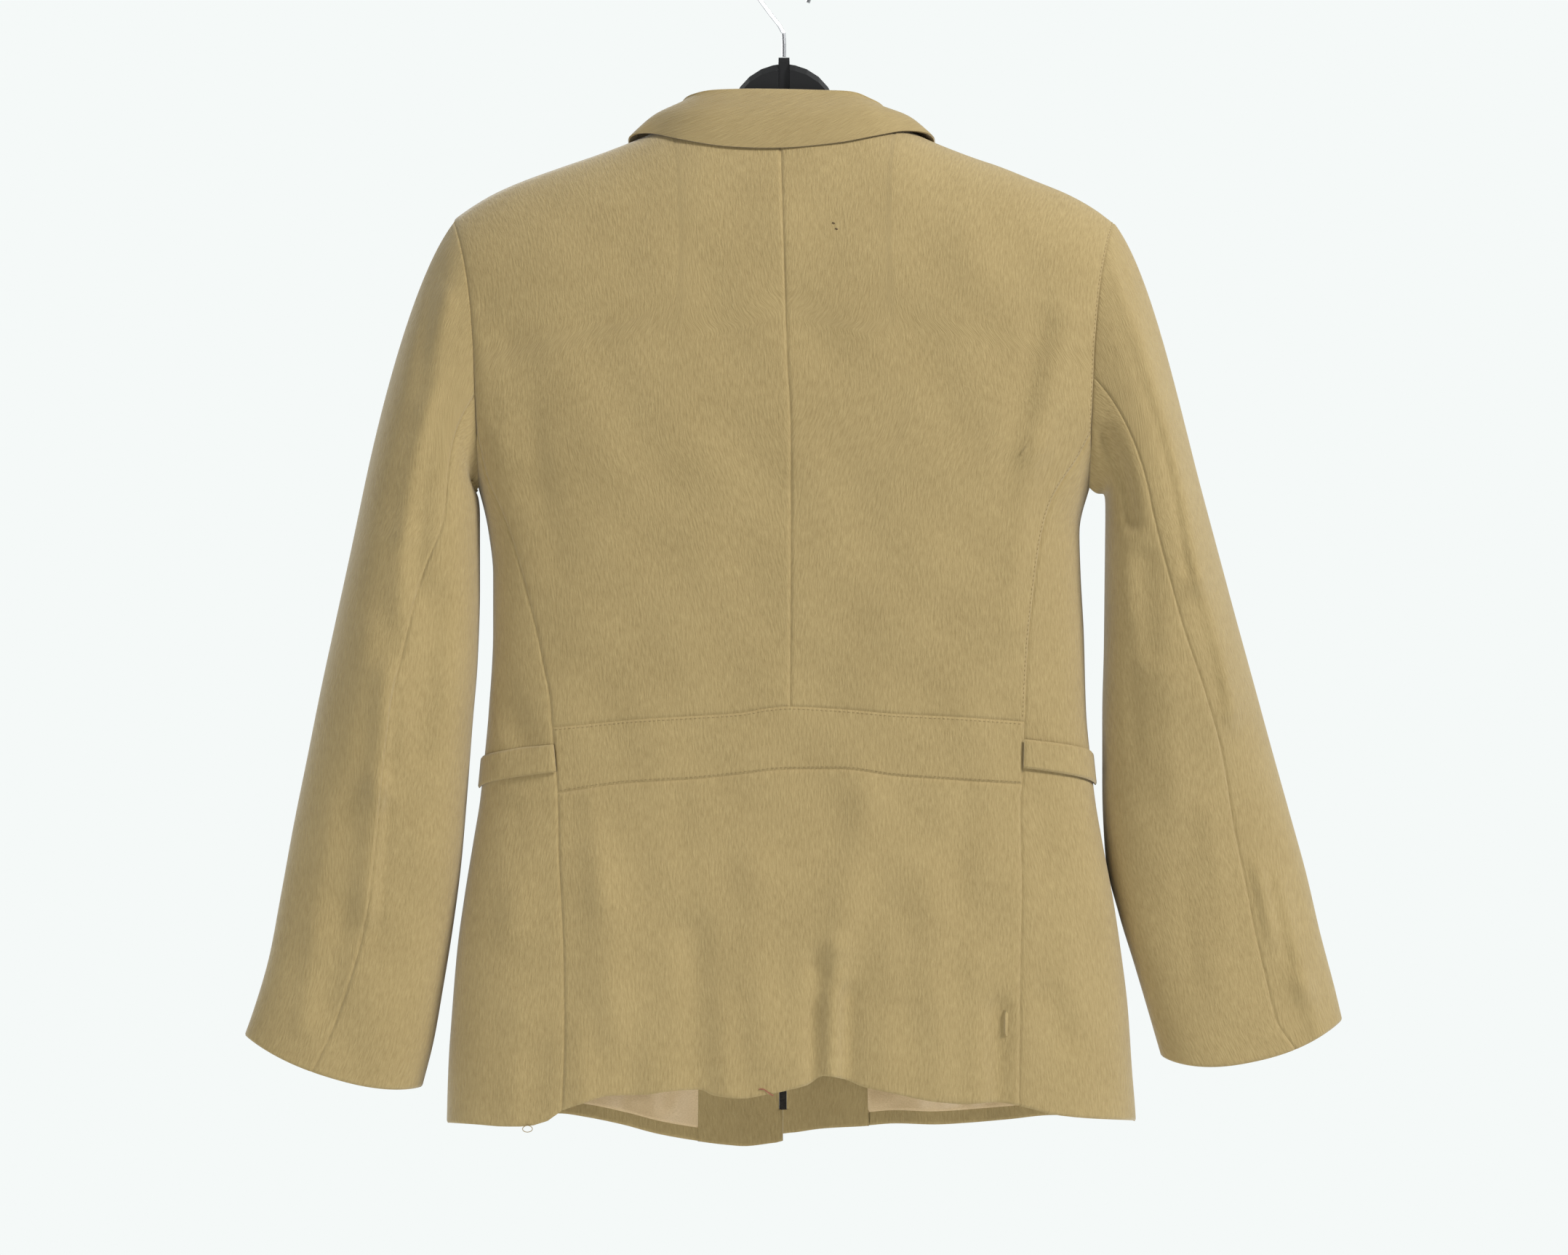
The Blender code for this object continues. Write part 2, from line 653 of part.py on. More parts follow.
def front_panel(side):
    """Front from the zip out to the side seam, its middle edge stepping in below the zip's end."""
    edge_x = ZIP_X + side * ZIP_CLEAR
    top = np.concatenate([front_neck(side, edge_x), shoulder_line(side, 1)[1:]])
    angles = front_angles()[::-1]
    seam = front_seam(side)
    outer = np.concatenate([armhole(side, angles), seam[1:]])
    levels = np.concatenate([arm_levels(angles), side_levels(side, 2)[1:]])
    steps = row_steps(levels)
    end = column(HEM_FRONT, ZIP_X + side * 1.5, 1)
    z = NECK_FRONT + steps * (end - NECK_FRONT)
    below = z < ZIP_END + 12
    x = np.where(below, ZIP_X + side * SEAM / 2, edge_x)
    z[np.flatnonzero(below)[0]] = ZIP_END - 1.0
    z[np.flatnonzero(below)[0] - 1] = ZIP_END
    middle = on_torso(1, x, z, side)
    hem_x = np.linspace(x[-1], side * column(FRONT_SEAM, -760, 1), COLUMNS + 1)
    hem_z = column(HEM_FRONT, hem_x, 1)
    hem_z[-1] = seam[-1, 1]
    hem_z[0] = z[-1]
    return patch(top, on_torso(1, hem_x, hem_z, side), middle, outer, steps)


def sleeve_seen(side, angle, way):
    """Point of a sleeve: angle in degrees from the outer edge over the back, way down in rings.

    Up to ring 1 each line swings out of the armhole on a cubic, and below that the rings are squared ovals.
    """
    angle, way = np.broadcast_arrays(np.asarray(angle, float), np.asarray(way, float))
    table = SLEEVE[side]
    rings = np.arange(1, len(table) + 1)
    at = np.clip(way, 1, len(table))
    ox, oz, ix, iz, half, mid_y, drop = (np.interp(at, rings, [row[k] for row in table]) for k in range(7))
    sine, cosine = np.sin(np.radians(angle)), np.cos(np.radians(angle))
    ring = (np.abs(sine) ** 2.3 + np.abs(cosine) ** 2.3) ** (1 / 2.3)
    out, back = cosine / ring, sine / ring
    x = (ox + ix) / 2 + out * (ox - ix) / 2
    z = (oz + iz) / 2 + out * (oz - iz) / 2 - drop * back**2 + np.where(back < 0, 7 * (at / 10) ** 2 * back**2, 0)
    y = mid_y - back * half
    face = np.where(back > 0, -1, 1)
    bump = folds(SLEEVE_FOLDS[side], face, x, z)
    y = y - back * bump
    spot = armhole(side, angle)
    ax, ay, az = torso_seen(spot[..., 0], spot[..., 1])
    t = np.clip(way, 0, 1)
    up = (1 + cosine) / 2
    pull = 48 + 70 * up**1.5
    sx, sy, sz = side * 0.62 * pull, -0.16 * back * pull, -0.78 * pull
    first, second = table[0], table[1]
    ex = (1 + out) / 2 * (second[0] - first[0]) + (1 - out) / 2 * (second[2] - first[2])
    ez = second[1] - first[1]
    reach = 2.2 + 1.8 * up
    h1, h2 = 2 * t**3 - 3 * t**2 + 1, t**3 - 2 * t**2 + t
    h3, h4 = -2 * t**3 + 3 * t**2, t**3 - t**2
    top_x = h1 * ax + h2 * sx + h3 * x + h4 * ex * reach
    top_y = h1 * ay + h2 * sy + h3 * y
    top_z = h1 * az + h2 * sz + h3 * z + h4 * ez * reach
    face_top = folds(SLEEVE_FOLDS[side], face, top_x, top_z) * np.minimum(1, t * 6) * np.abs(back) * (1 - h3)
    top_y = top_y + np.where(face < 0, -1, 1) * face_top
    upper = way < 1
    return np.where(upper, top_x, x), np.where(upper, top_y, y), np.where(upper, top_z, z)


def sleeve(side):
    return lambda angle, way: real(*sleeve_seen(side, angle, way))


SLEEVE_WAYS = np.array([0, 0.12, 0.26, 0.42, 0.6, 0.8, 1, 1.5, 2, 2.6, 3.2, 3.8, 4.4, 5, 5.6, 6.2,
                        6.9, 7.6, 8.3, 9, 9.5, 10])
ARM_GAP = 0.35


def sleeve_shell(side, angles):
    """Two walls of a sleeve piece: angles is a grid, a row per way down."""
    surface = sleeve(side)
    way = np.broadcast_to(SLEEVE_WAYS[:, None], angles.shape)
    safe = np.clip(way, 0.004, None)
    outward = normals(surface, angles, safe, 0.4, 0.003)
    middle = surface(angles, way)
    hub = surface(np.array([0.0, 90.0, 180.0, 270.0])[None, :] + 0 * way[:, :1], way[:, :1]).mean(axis=1, keepdims=True)
    outward *= np.sign((outward * (middle - hub)).sum(axis=-1, keepdims=True))
    start = unit(surface(angles[0], SLEEVE_WAYS[1]) - middle[0])
    rim = armhole(side, angles[0] % 360)[None]
    cloth = np.concatenate(torso_shell(rim, 0.0, 1.0))
    share = np.clip(np.cos(np.radians(angles[0])) + 0.4, 0, 1)[:, None]
    outward[0] = unit(outward[0] * (1 - share) + (cloth[0] - cloth[1]) * share)
    middle = middle.copy()
    middle[0] += start * ARM_GAP + outward[0] * 0.3
    return middle, middle - outward * WALL


def sleeve_angles(side, under):
    """Angles of a sleeve piece between its two seams, for each way down."""
    seam = column(SLEEVE_SEAM[side], SLEEVE_WAYS, 1)
    start = seam_angle(side)
    back, low, front = back_angles(side), low_angles(), front_angles()
    if under:
        first = np.concatenate([back[7:], low[1:], front[1:2]])
        ends = np.stack([seam, np.full(len(seam), SLEEVE_FRONT_AT)], axis=1)
    else:
        first = np.concatenate([front[1:] - 360, back[1:8]])
        ends = np.stack([np.full(len(seam), SLEEVE_FRONT_AT - 360), seam], axis=1)
    share = (first - first[0]) / (first[-1] - first[0])
    even = np.linspace(0, 1, len(first))
    mix = np.clip(SLEEVE_WAYS, 0, 1)[:, None]
    share = (1 - mix) * share + mix * even
    return ends[:, :1] + share * (ends[:, 1:] - ends[:, :1])


def sleeve_piece(side, under):
    angles = sleeve_angles(side, under)
    outer, inner = sleeve_shell(side, angles % 360)
    name = ("under_sleeve_" if under else "upper_sleeve_") + ("left" if side < 0 else "right")
    add_slab(name, pulled_in(outer, "lr", SEAM / 2), pulled_in(inner, "lr", SEAM / 2), "wool_camel")


def half_belt(side):
    """Half belt on the side panel, made from the panel's own points and moved out."""
    panel = side_panel(side)[UPPER_ROWS + 1:UPPER_ROWS + 4]
    name = "half_belt_left" if side < 0 else "half_belt_right"
    add_panel(name, panel, "lr", out=SEAM + BELT_WALL, depth=BELT_WALL, by=0.2)


def facing(side):
    """Front facing inside the front, from the zip to its turned edge, on the front's own points."""
    grid = front_panel(side)[:, :FACING_COLUMNS + 1]
    outer, inner = torso_shell(grid, -WALL - SEAM, FACING_WALL)
    walls = [pulled_in(pulled_in(wall, "tb", 1.2), "r", SEAM / 2) for wall in (outer, inner)]
    add_slab("facing_left" if side < 0 else "facing_right", walls[0], walls[1], "wool_camel")


def lining(side):
    """Front lining from the facing's edge to the side seam, below the armhole."""
    grid = front_panel(side)[LINING_ROW:, FACING_COLUMNS:-1].copy()
    grid[-1, :, 1] += LINING_RISE
    outer, inner = torso_shell(grid, -WALL - SEAM, LINING_WALL)
    walls = [pulled_in(wall, "l", SEAM / 2) for wall in (outer, inner)]
    add_slab("front_lining_left" if side < 0 else "front_lining_right", walls[0], walls[1], "satin_taupe")


def collar_frame():
    """Collar sections as rows of seven points, from the neck seam over the roll to the outer edge."""
    sections = []
    for face, bx, bz, rx, ry, rz, ex, ez, lift in COLLAR:
        side = -1 if face < 0 else 1
        base = on_torso(side, bx, bz)
        edge = on_torso(side, ex, ez)
        if face == 0:
            base[1] = edge[1] = CAP_LEVEL + CAP_SPAN
        base_at, base_out = torso_point(base)
        edge_at, edge_out = torso_point(edge)
        roll = real(np.array(float(rx)), np.array(float(ry)), np.array(float(rz)))
        low, high = base_at + base_out * (0.4 + 0.5 * lift), edge_at + edge_out * lift
        outward = unit(high - low - np.array([0, 0, (high - low)[2]]))
        sections.append([
            low,
            low * 0.5 + (roll - outward * 2.4) * 0.5 - outward * 0.8,
            roll - outward * 2.5 - np.array([0, 0, 2.6]),
            roll,
            roll + outward * 2.5 - np.array([0, 0, 2.6]),
            (roll + outward * 2.5) * 0.5 + high * 0.5 + edge_out * 2.2,
            high,
        ])
    return np.array(sections)


def torso_point(spot):
    turn, height = np.array([[spot[0]]]), np.array([[spot[1]]])
    outer, inner = torso_shell(np.stack([turn, height], axis=-1), 0.0, 1.0)
    return outer[0, 0], (outer - inner)[0, 0]


def spline(points, steps):
    """Smooth rows through given rows, each span cut into equal steps."""
    points = np.asarray(points, float)
    slope = np.gradient(points, axis=0)
    rows = []
    for i in range(len(points) - 1):
        for t in np.arange(steps) / steps:
            h1, h2 = 2 * t**3 - 3 * t**2 + 1, t**3 - 2 * t**2 + t
            h3, h4 = -2 * t**3 + 3 * t**2, t**3 - t**2
            rows.append(h1 * points[i] + h2 * slope[i] + h3 * points[i + 1] + h4 * slope[i + 1])
    rows.append(points[-1])
    return np.array(rows)


def collar():
    """Collar folded over its roll line, one wall thick on each leg."""
    middle = spline(collar_frame(), 2)
    across = spline(np.swapaxes(middle, 0, 1), 2)
    middle = np.swapaxes(across, 0, 1)
    keep = [0, 2, 3, 4, 5, 6, 7, 8, 9, 10, 12]
    along = np.gradient(middle, axis=0)
    down = np.gradient(middle, axis=1)
    outward = unit(np.cross(along, down))
    outer, inner = middle + outward * COLLAR_WALL / 2, middle - outward * COLLAR_WALL / 2
    add_slab("collar", outer[:, keep], inner[:, keep], "wool_camel")


def zip_parts():
    """Zip chain between the fronts, with its slider and the pull tab on the slider's pin."""
    rows = 30
    z = np.linspace(NECK_FRONT + 0.5, ZIP_END + 0.5, rows)
    x = np.array([ZIP_X - ZIP_HALF, ZIP_X + ZIP_HALF])
    spots = on_torso(1, np.broadcast_to(x, (rows, 2)), np.broadcast_to(z[:, None], (rows, 2)), 1)
    add_panel("zip_chain", spots, "", material="zip_dark_metal", out=-0.1, depth=2.0)
    over, down = np.meshgrid([ZIP_X - SLIDER_HALF, ZIP_X + SLIDER_HALF], np.linspace(SLIDER_TOP, SLIDER_LOW, 3))
    base = on_torso(1, over, down, 1)
    slider = add_panel("zip_slider", base, "", material="zip_dark_metal", out=SEAM + SLIDER_DEPTH, depth=SLIDER_DEPTH)
    middle = torso_point(on_torso(1, ZIP_X, PIN_LEVEL, 1))[0]
    pin = middle + np.array([0, SEAM + SLIDER_DEPTH + PIN_RISE, 0])
    leg = PIN_RISE + 0.8
    staple = [(-PIN_HALF, -leg), (-PIN_HALF, -0.6), (-PIN_HALF + 0.6, 0), (PIN_HALF - 0.6, 0),
              (PIN_HALF, -0.6), (PIN_HALF, -leg)]
    rings = []
    for (x, y), (tx, ty) in zip(staple, ((0, 1), (0.38, 0.92), (0.92, 0.38), (0.92, -0.38), (0.38, -0.92), (0, -1))):
        turns = np.arange(8) * math.pi / 4
        off = PIN_WIRE * np.cos(turns)
        rings.append(pin + np.stack([x - ty * off, y + tx * off, PIN_WIRE * np.sin(turns)], axis=-1))
    merge(slider, add_tube("slider_bail", rings, "zip_dark_metal"))
    pull = ring_band("zip_pull", pin, EYE_IN, EYE_OUT, EYE_HALF)
    tail = []
    for z, half in ((-EYE_IN - 0.35, EYE_HALF), (-4.5, PULL_HALF), (-PULL_LONG + 1.5, PULL_HALF), (-PULL_LONG, 1.4)):
        corners = ((-half, -PULL_DEPTH), (half, -PULL_DEPTH), (half, PULL_DEPTH), (-half, PULL_DEPTH))
        tail.append([pin + np.array([x, y, z]) for x, y in corners])
    merge(pull, add_tube("pull_tail", tail, "zip_dark_metal"))


def ring_band(name, centre, inside, outside, half):
    """Flat ring round the pin, its axis along X."""
    turns = np.arange(12) * math.pi / 6
    circle = np.stack([0 * turns, np.sin(turns), np.cos(turns)], axis=-1)
    shift = np.array([half, 0, 0])
    loops = [circle * outside - shift, circle * outside + shift, circle * inside + shift, circle * inside - shift]
    faces = []
    for i in range(4):
        for j in range(12):
            a, b = i * 12 + j, i * 12 + (j + 1) % 12
            c, d = (i + 1) % 4 * 12 + (j + 1) % 12, (i + 1) % 4 * 12 + j
            faces += [(a, b, c), (a, c, d)]
    return add_mesh(name, np.concatenate(loops) + centre, faces, "zip_dark_metal")


def merge(item, other):
    """Joins another closed mesh to an item with a union and hides the helper."""
    union = item.modifiers.new("union", "BOOLEAN")
    union.operation = "UNION"
    union.solver = "EXACT"
    union.object = other
    other.hide_render = True


def hanger():
    """Hanger with sloping arms, round head and nub, as sections along its length."""
    inner_x = DOME_RADIUS * 0.9
    arm = np.linspace(inner_x + 4, ARM_REACH, 13)
    dome = DOME_RADIUS * np.sin(np.radians([70, 55, 40, 25, 12]))
    right = np.concatenate([[NUB_HALF - 0.3, NUB_HALF, NUB_HALF + 0.2], dome[::-1], arm])
    places = np.concatenate([-right[::-1], right])
    rings = []
    for x in places:
        reach = abs(x)
        arc = DOME_LEVEL + math.sqrt(max(DOME_RADIUS**2 - x * x, 0.0))
        under = column(SHOULDER, x, 1) - 3.6
        top, half, low = under, ARM_HALF, under - ARM_DEPTH
        if reach < inner_x + 2:
            top, half, low = arc, 6.0, -128.0
        if reach <= NUB_HALF:
            top, half = NUB_TOP, 3.4
        ends = 1.0 if reach < ARM_REACH - 1 else 0.6
        half *= ends
        corner = half * 0.45
        profile = [(-corner, top), (corner, top), (half, top - corner - 1), (half, low + corner + 1),
                   (corner, low), (-corner, low), (-half, low + corner + 1), (-half, top - corner - 1)]
        rings.append([real(np.array(x), np.array(y), np.array(z)) for y, z in profile])
    add_tube("hanger", rings, "plastic_black")


def hook():
    """Steel wire hook, its inside top at the origin."""
    stem = real(np.array(0.0), np.array(0.0), np.array(NUB_TOP))[2] + SEAM * 1.9
    path = [(0.0, stem), (0.0, -54.0), (-0.3, -47), (-3.2, -41.5), (-9.5, -33.5), (-14.6, -26.6)]
    for angle in range(195, -31, -15):
        a = math.radians(angle)
        path.append((HOOK_RADIUS * math.cos(a), -(HOOK_RADIUS - HOOK_WIRE) + HOOK_RADIUS * math.sin(a)))
    path = np.array(path)
    tangent = unit(np.gradient(path, axis=0))
    rings = []
    for (x, z), (tx, tz) in zip(path, tangent):
        ring = []
        for k in range(8):
            a = 2 * math.pi * k / 8
            off = HOOK_WIRE * math.cos(a)
            ring.append((x - tz * off, HOOK_WIRE * math.sin(a), z + tx * off))
        rings.append(ring)
    add_tube("hanger_hook", rings, "steel_wire")


def clear_scene():
    for item in list(bpy.data.objects):
        bpy.data.objects.remove(item, do_unlink=True)


def make_materials():
    for name, (colour, rough, metal) in MATERIALS.items():
        material = bpy.data.materials.new(name)
        material.use_nodes = True
        shader = material.node_tree.nodes["Principled BSDF"]
        shader.inputs["Base Color"].default_value = colour
        shader.inputs["Roughness"].default_value = rough
        shader.inputs["Metallic"].default_value = metal


def main():
    clear_scene()
    make_materials()
    for side, word in ((-1, "left"), (1, "right")):
        add_panel("back_upper_" + word, back_panel(side), "tblR")
        add_panel("side_panel_" + word, side_panel(side), "lr")
        add_panel("front_" + word, front_panel(side), "tR")
        sleeve_piece(side, False)
        sleeve_piece(side, True)
        half_belt(side)
        facing(side)
        lining(side)
    add_panel("waist_band", joined(band_half), "tblr")
    add_panel("back_skirt", joined(skirt_half), "tlr")
    collar()
    zip_parts()
    hanger()
    hook()


main()
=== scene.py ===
"""Short wool jacket on a hanger, dressed for the eye: cloth shells, seams, sewing, zip, hanger and studio.

Every cloth piece is a thin shell worked out on a grid from the same tables as its solid.
Sizes are in millimetres in the tables and go to metres when a mesh is written.
X runs across the back, Y from the back to the zipped front, Z is up, and the hook's inside top is the origin.
"""

import math

import bpy
import numpy as np
from bpy.props import FloatProperty, PointerProperty
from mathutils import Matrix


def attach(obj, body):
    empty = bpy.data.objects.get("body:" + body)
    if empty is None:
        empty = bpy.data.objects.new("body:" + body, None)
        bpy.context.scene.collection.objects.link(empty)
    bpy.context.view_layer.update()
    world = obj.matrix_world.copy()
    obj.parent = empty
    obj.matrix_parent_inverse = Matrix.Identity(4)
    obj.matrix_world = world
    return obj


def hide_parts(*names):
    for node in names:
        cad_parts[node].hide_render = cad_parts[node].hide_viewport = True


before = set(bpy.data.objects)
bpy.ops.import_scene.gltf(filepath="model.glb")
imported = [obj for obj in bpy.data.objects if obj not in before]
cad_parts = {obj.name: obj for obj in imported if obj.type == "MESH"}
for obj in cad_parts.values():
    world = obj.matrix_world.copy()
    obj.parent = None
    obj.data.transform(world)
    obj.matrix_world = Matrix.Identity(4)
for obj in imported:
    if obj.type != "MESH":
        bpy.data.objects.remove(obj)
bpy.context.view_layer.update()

bl_info = {
    "name": "Wool jacket on a hanger",
    "version": (1, 0, 0),
    "blender": (4, 5, 0),
    "location": "View3D > Sidebar > Jacket",
    "description": "Builds the jacket's cloth, sewing, zip, hanger and studio on its solid model",
    "category": "Object",
}

MM = 0.001

# Steps worked out between two rows or columns of the solid's own grid.
DETAIL = 5

# Cloth seen from straight behind: distance, eye level and nearest face.
VIEW = 2010.0
EYE_LEVEL = -438.0
NEAR_FACE = -45.0

# Torso ring shape.
SQUARE = 3.2
CAP_LEVEL = -235.0
CAP_SPAN = 80.0
CORE_TOP = -200.0

# Armhole oval.
ARM_TOP = -171.0
ARM_LOW = -345.0
PRINCESS_AT = 126.0
FRONT_SEAM_AT = 234.0
SLEEVE_FRONT_AT = 250.0

# Zip.
ZIP_X = -0.7
ZIP_CLEAR = 2.42
ZIP_END = -756.0
NECK_FRONT = -190.0

# Walls in millimetres.
FACING_WALL = 1.2
LINING_WALL = 1.0
COLLAR_WALL = 1.7
SEAM = 0.3

# level, left edge, right edge, centre, depth back, depth front
BODY = (
    (-90, -234, 233, -2, 50, 50),
    (-235, -234, 232, 1, 50, 51),
    (-290, -224, 223, 2, 52, 53),
    (-310, -216, 215, 2, 52, 54),
    (-330, -207, 207, 3, 52, 54),
    (-345, -202, 202, 3, 51, 54),
    (-375, -195, 195, 3, 50, 53),
    (-403, -192, 195.8, 4, 49, 51),
    (-440, -192, 197.8, 4, 47, 49),
    (-495, -195, 199.5, 4, 44, 46),
    (-522, -197.5, 202, 4, 44, 46),
    (-552, -200.6, 205.4, 3, 45, 47),
    (-579, -205, 210, 3, 46, 48),
    (-616, -211, 217, 3, 48, 50),
    (-649, -215.5, 222, 4, 49, 51),
    (-690, -219, 227, 4, 50, 52),
    (-727, -221.5, 229.5, 4, 51, 53),
    (-765, -222.6, 232.3, 5, 52, 54),
    (-790, -223, 233, 5, 52, 54),
)

# x, shoulder level
SHOULDER = (
    (-245, -190), (-220.2, -170.7), (-208, -161.8), (-193, -152.7), (-175, -144.5),
    (-149, -135), (-120, -125), (-98, -116.5), (-76, -107.5), (-50, -99), (0, -95),
    (50, -99), (76, -107.5), (99, -117.8), (128, -128.9), (139, -132.5), (167, -143.6),
    (187, -151.8), (205, -161.8), (217.2, -170.9), (245, -190),
)

# level, distance of the armhole edge from the middle
ARMHOLE = (
    (-345, 201), (-330, 202), (-308, 203.2), (-294, 203.8), (-270, 204.8), (-254, 205.4),
    (-235, 206.8), (-213, 209), (-200, 211), (-184, 214.4), (-171, 218),
)

# x, neckline level
NECK_BACK = ((-76, -107.5), (-60, -110), (-40, -111.6), (0, -112), (40, -111.6), (60, -110), (76, -107.5))
NECK_LEVEL = -112.0
NECK_HALF = 76.0
NECK_SIDE = -107.5
NECK_CURVE = 2.6

# level, x of the centre back seam
CENTRE_BACK = ((-112, -2.5), (-257, 2.1), (-312, 4.5), (-386, 4.5), (-490, 3.9))

# level, x of the curved back seam
PRINCESS = {
    -1: ((-309, -203.2), (-339.4, -196.3), (-363, -186), (-385.5, -178), (-415, -169.7),
         (-441, -163), (-463, -158.6), (-481, -155), (-504, -153), (-547, -149.5),
         (-589, -148.6), (-625.5, -146.7), (-662.5, -145.4), (-708, -145), (-757, -146.7)),
    1: ((-309, 203.2), (-328, 193), (-344, 182), (-355, 176.4), (-373.5, 171),
        (-395.6, 167.3), (-418, 164.5), (-443.6, 161.8), (-473, 160), (-500, 158.9),
        (-541.5, 157.4), (-552, 156.2), (-607, 157.2), (-662.5, 156.2), (-754, 155.3)),
}

# level, distance of the front side seam from the middle
FRONT_SEAM = ((-309, 203.2), (-345, 190), (-400, 180), (-450, 175), (-500, 173), (-550, 174),
              (-620, 178), (-760, 182))

# x, waist band top, waist band bottom
WAIST = (
    (-153, -504, -547.3), (-131, -502, -544), (-102, -499, -540.5), (-65, -496.7, -538.5),
    (-28, -494.3, -534.8), (-10, -491.2, -532.6), (3, -490.2, -531.7), (37, -491.8, -531.4),
    (73.6, -495, -536), (110, -496.8, -538.5), (159, -500.2, -541.5),
)

# Belt and seam levels on the back seam, at the side and on the front seam.
BELT_ROWS = {
    -1: ((-504, -513, -507), (-515, -524, -518), (-524, -534, -528), (-533.4, -544, -538),
         (-547.3, -557, -550)),
    1: ((-500.2, -511, -505), (-511.5, -521, -515), (-521, -531.5, -525), (-530.7, -542, -536),
        (-541.5, -552, -546)),
}

# x, back hem level
HEM_BACK = (
    (-240, -763.5), (-203, -766), (-184, -767.4), (-171.6, -767.4), (-157, -764), (-146.7, -757),
    (-135, -753), (-114.6, -747), (-92.5, -746.4), (-74, -744), (-55.8, -743), (-46.6, -747),
    (-28, -749), (-13.5, -746.7), (4.8, -743), (15.8, -740), (25, -734), (38.7, -735.7),
    (51.6, -741), (73.6, -745.9), (101, -751.4), (121, -752.7), (139.7, -751.4), (159, -754.5),
    (176.4, -759.3), (202, -762), (240, -763.5),
)

# x, front hem level
HEM_FRONT = (
    (-240, -763.5), (-148, -758.5), (-129.7, -761), (-106.7, -765.7), (-83.8, -771.8),
    (-60.8, -776), (-37.8, -779), (-25.6, -780), (-11.8, -778.5), (-1.2, -775.5), (-0.6, -772),
    (9.6, -770.3), (23.4, -768.3), (52.5, -766.5), (73.6, -765), (99, -765.7), (121, -764.6),
    (147, -762.4), (178, -759.5), (240, -763.5),
)

# Soft folds of the torso: face, from x, from z, to x, to z, half width, height
TORSO_FOLDS = (
    (-1, 185, -235, 167, -320, 11, 2.2),
    (-1, 167, -320, 154, -437, 12, 2.0),
    (-1, 171, -240, 150, -330, 10, -1.6),
    (-1, -197, -239, -187, -322, 10, 2.2),
    (-1, -180, -250, -165, -345, 13, -1.6),
    (-1, -192, -480, -172, -512, 9, -3.0),
    (-1, 23, -660, 23, -760, 8, -2.6),
    (-1, 34, -650, 33, -760, 8, 2.2),
    (-1, 44, -680, 42, -760, 7, -2.2),
    (-1, 54, -552, 37, -644, 13, 2.0),
    (-1, 141, -690, 141, -770, 8, -2.6),
    (-1, 174, -680, 188, -712, 7, -2.4),
    (-1, -120, -590, -114, -700, 15, 2.2),
    (-1, -175, -552, -180, -640, 9, 2.4),
    (-1, -60, -640, -56, -770, 12, -2.4),
    (-1, -20, -600, -14, -720, 14, 1.8),
    (-1, 96, -600, 104, -740, 14, 1.8),
    (1, -120, -300, -104, -480, 14, 2.0),
    (1, 112, -290, 98, -470, 14, 2.0),
    (1, -70, -600, -84, -770, 16, 2.4),
    (1, 74, -610, 90, -770, 16, 2.2),
)

# Sleeve rings: outer x, outer z, inner x, inner z, half depth, middle y, hem drop
SLEEVE = {
    -1: (
        (-277, -345, -200.6, -366, 44, -2, 0),
        (-286, -388, -200.6, -412, 45, -4, 0),
        (-296, -434, -202, -458, 45, -6, 0),
        (-305.5, -478, -205.5, -502, 43, -6, 0),
        (-314.5, -523, -209, -548, 39, -5, 0),
        (-323.6, -568, -213, -594, 35, -4, 0),
        (-332, -614, -218.5, -636, 31, -3, 2),
        (-340, -656, -225, -676, 28, -2, 5),
        (-350, -690, -231, -710, 26, -1, 9),
        (-356, -707, -238.8, -741, 25, 0, 12),
    ),
    1: (
        (276, -349, 212, -368, 44, 2, 0),
        (287, -390, 211.5, -412, 45, 4, 0),
        (298, -431, 211, -454, 45, 6, 0),
        (309, -471, 210, -496, 42, 9, 0),
        (321, -515, 210, -542, 38, 13, 0),
        (333, -558, 212, -588, 34, 15, 0),
        (344.6, -600, 221, -627, 30, 13, 2),
        (354, -640, 230.5, -658, 28, 10, 6),
        (363.5, -676, 240, -690, 26, 8, 12),
        (368.5, -697, 249, -721, 25, 6, 16),
    ),
}

# Back sleeve seam: way down the sleeve in rings, angle from the outer edge
SLEEVE_SEAM = {
    -1: ((0, 108), (1, 113), (2, 97), (3, 89), (4, 86), (7, 90), (8, 86), (9, 81), (10, 76)),
    1: ((0, 100), (1, 92), (2, 84), (3, 77), (4, 69), (5, 65), (6, 67), (8, 70), (9, 70), (10, 62)),
}

# Soft folds of the sleeves: face, from x, from z, to x, to z, half width, height
SLEEVE_FOLDS = {
    -1: (
        (-1, -225, -221, -238, -294, 8, 2.6),
        (-1, -238, -294, -249, -376, 8, 2.6),
        (-1, -229, -199, -240, -285, 6, -2.2),
        (-1, -262, -470, -268, -545, 10, 3.4),
        (-1, -268, -545, -276, -625, 10, 3.0),
        (-1, -230, -420, -238, -520, 11, -2.4),
        (1, -262, -380, -280, -560, 16, 2.4),
    ),
    1: (
        (-1, 218, -199, 240, -250, 7, 2.4),
        (-1, 240, -250, 257, -309, 7, 3.0),
        (-1, 257, -309, 274, -407, 8, 3.0),
        (-1, 274, -407, 298, -490, 9, 3.0),
        (-1, 213, -313, 229, -368, 6, -3.6),
        (-1, 237, -395, 240, -450, 10, -2.6),
        (-1, 313, -600, 321, -640, 7, 2.4),
        (-1, 326, -606, 344, -675, 8, 2.6),
        (-1, 344, -675, 355, -708, 7, 2.6),
        (1, 262, -380, 290, -560, 16, 2.4),
    ),
}

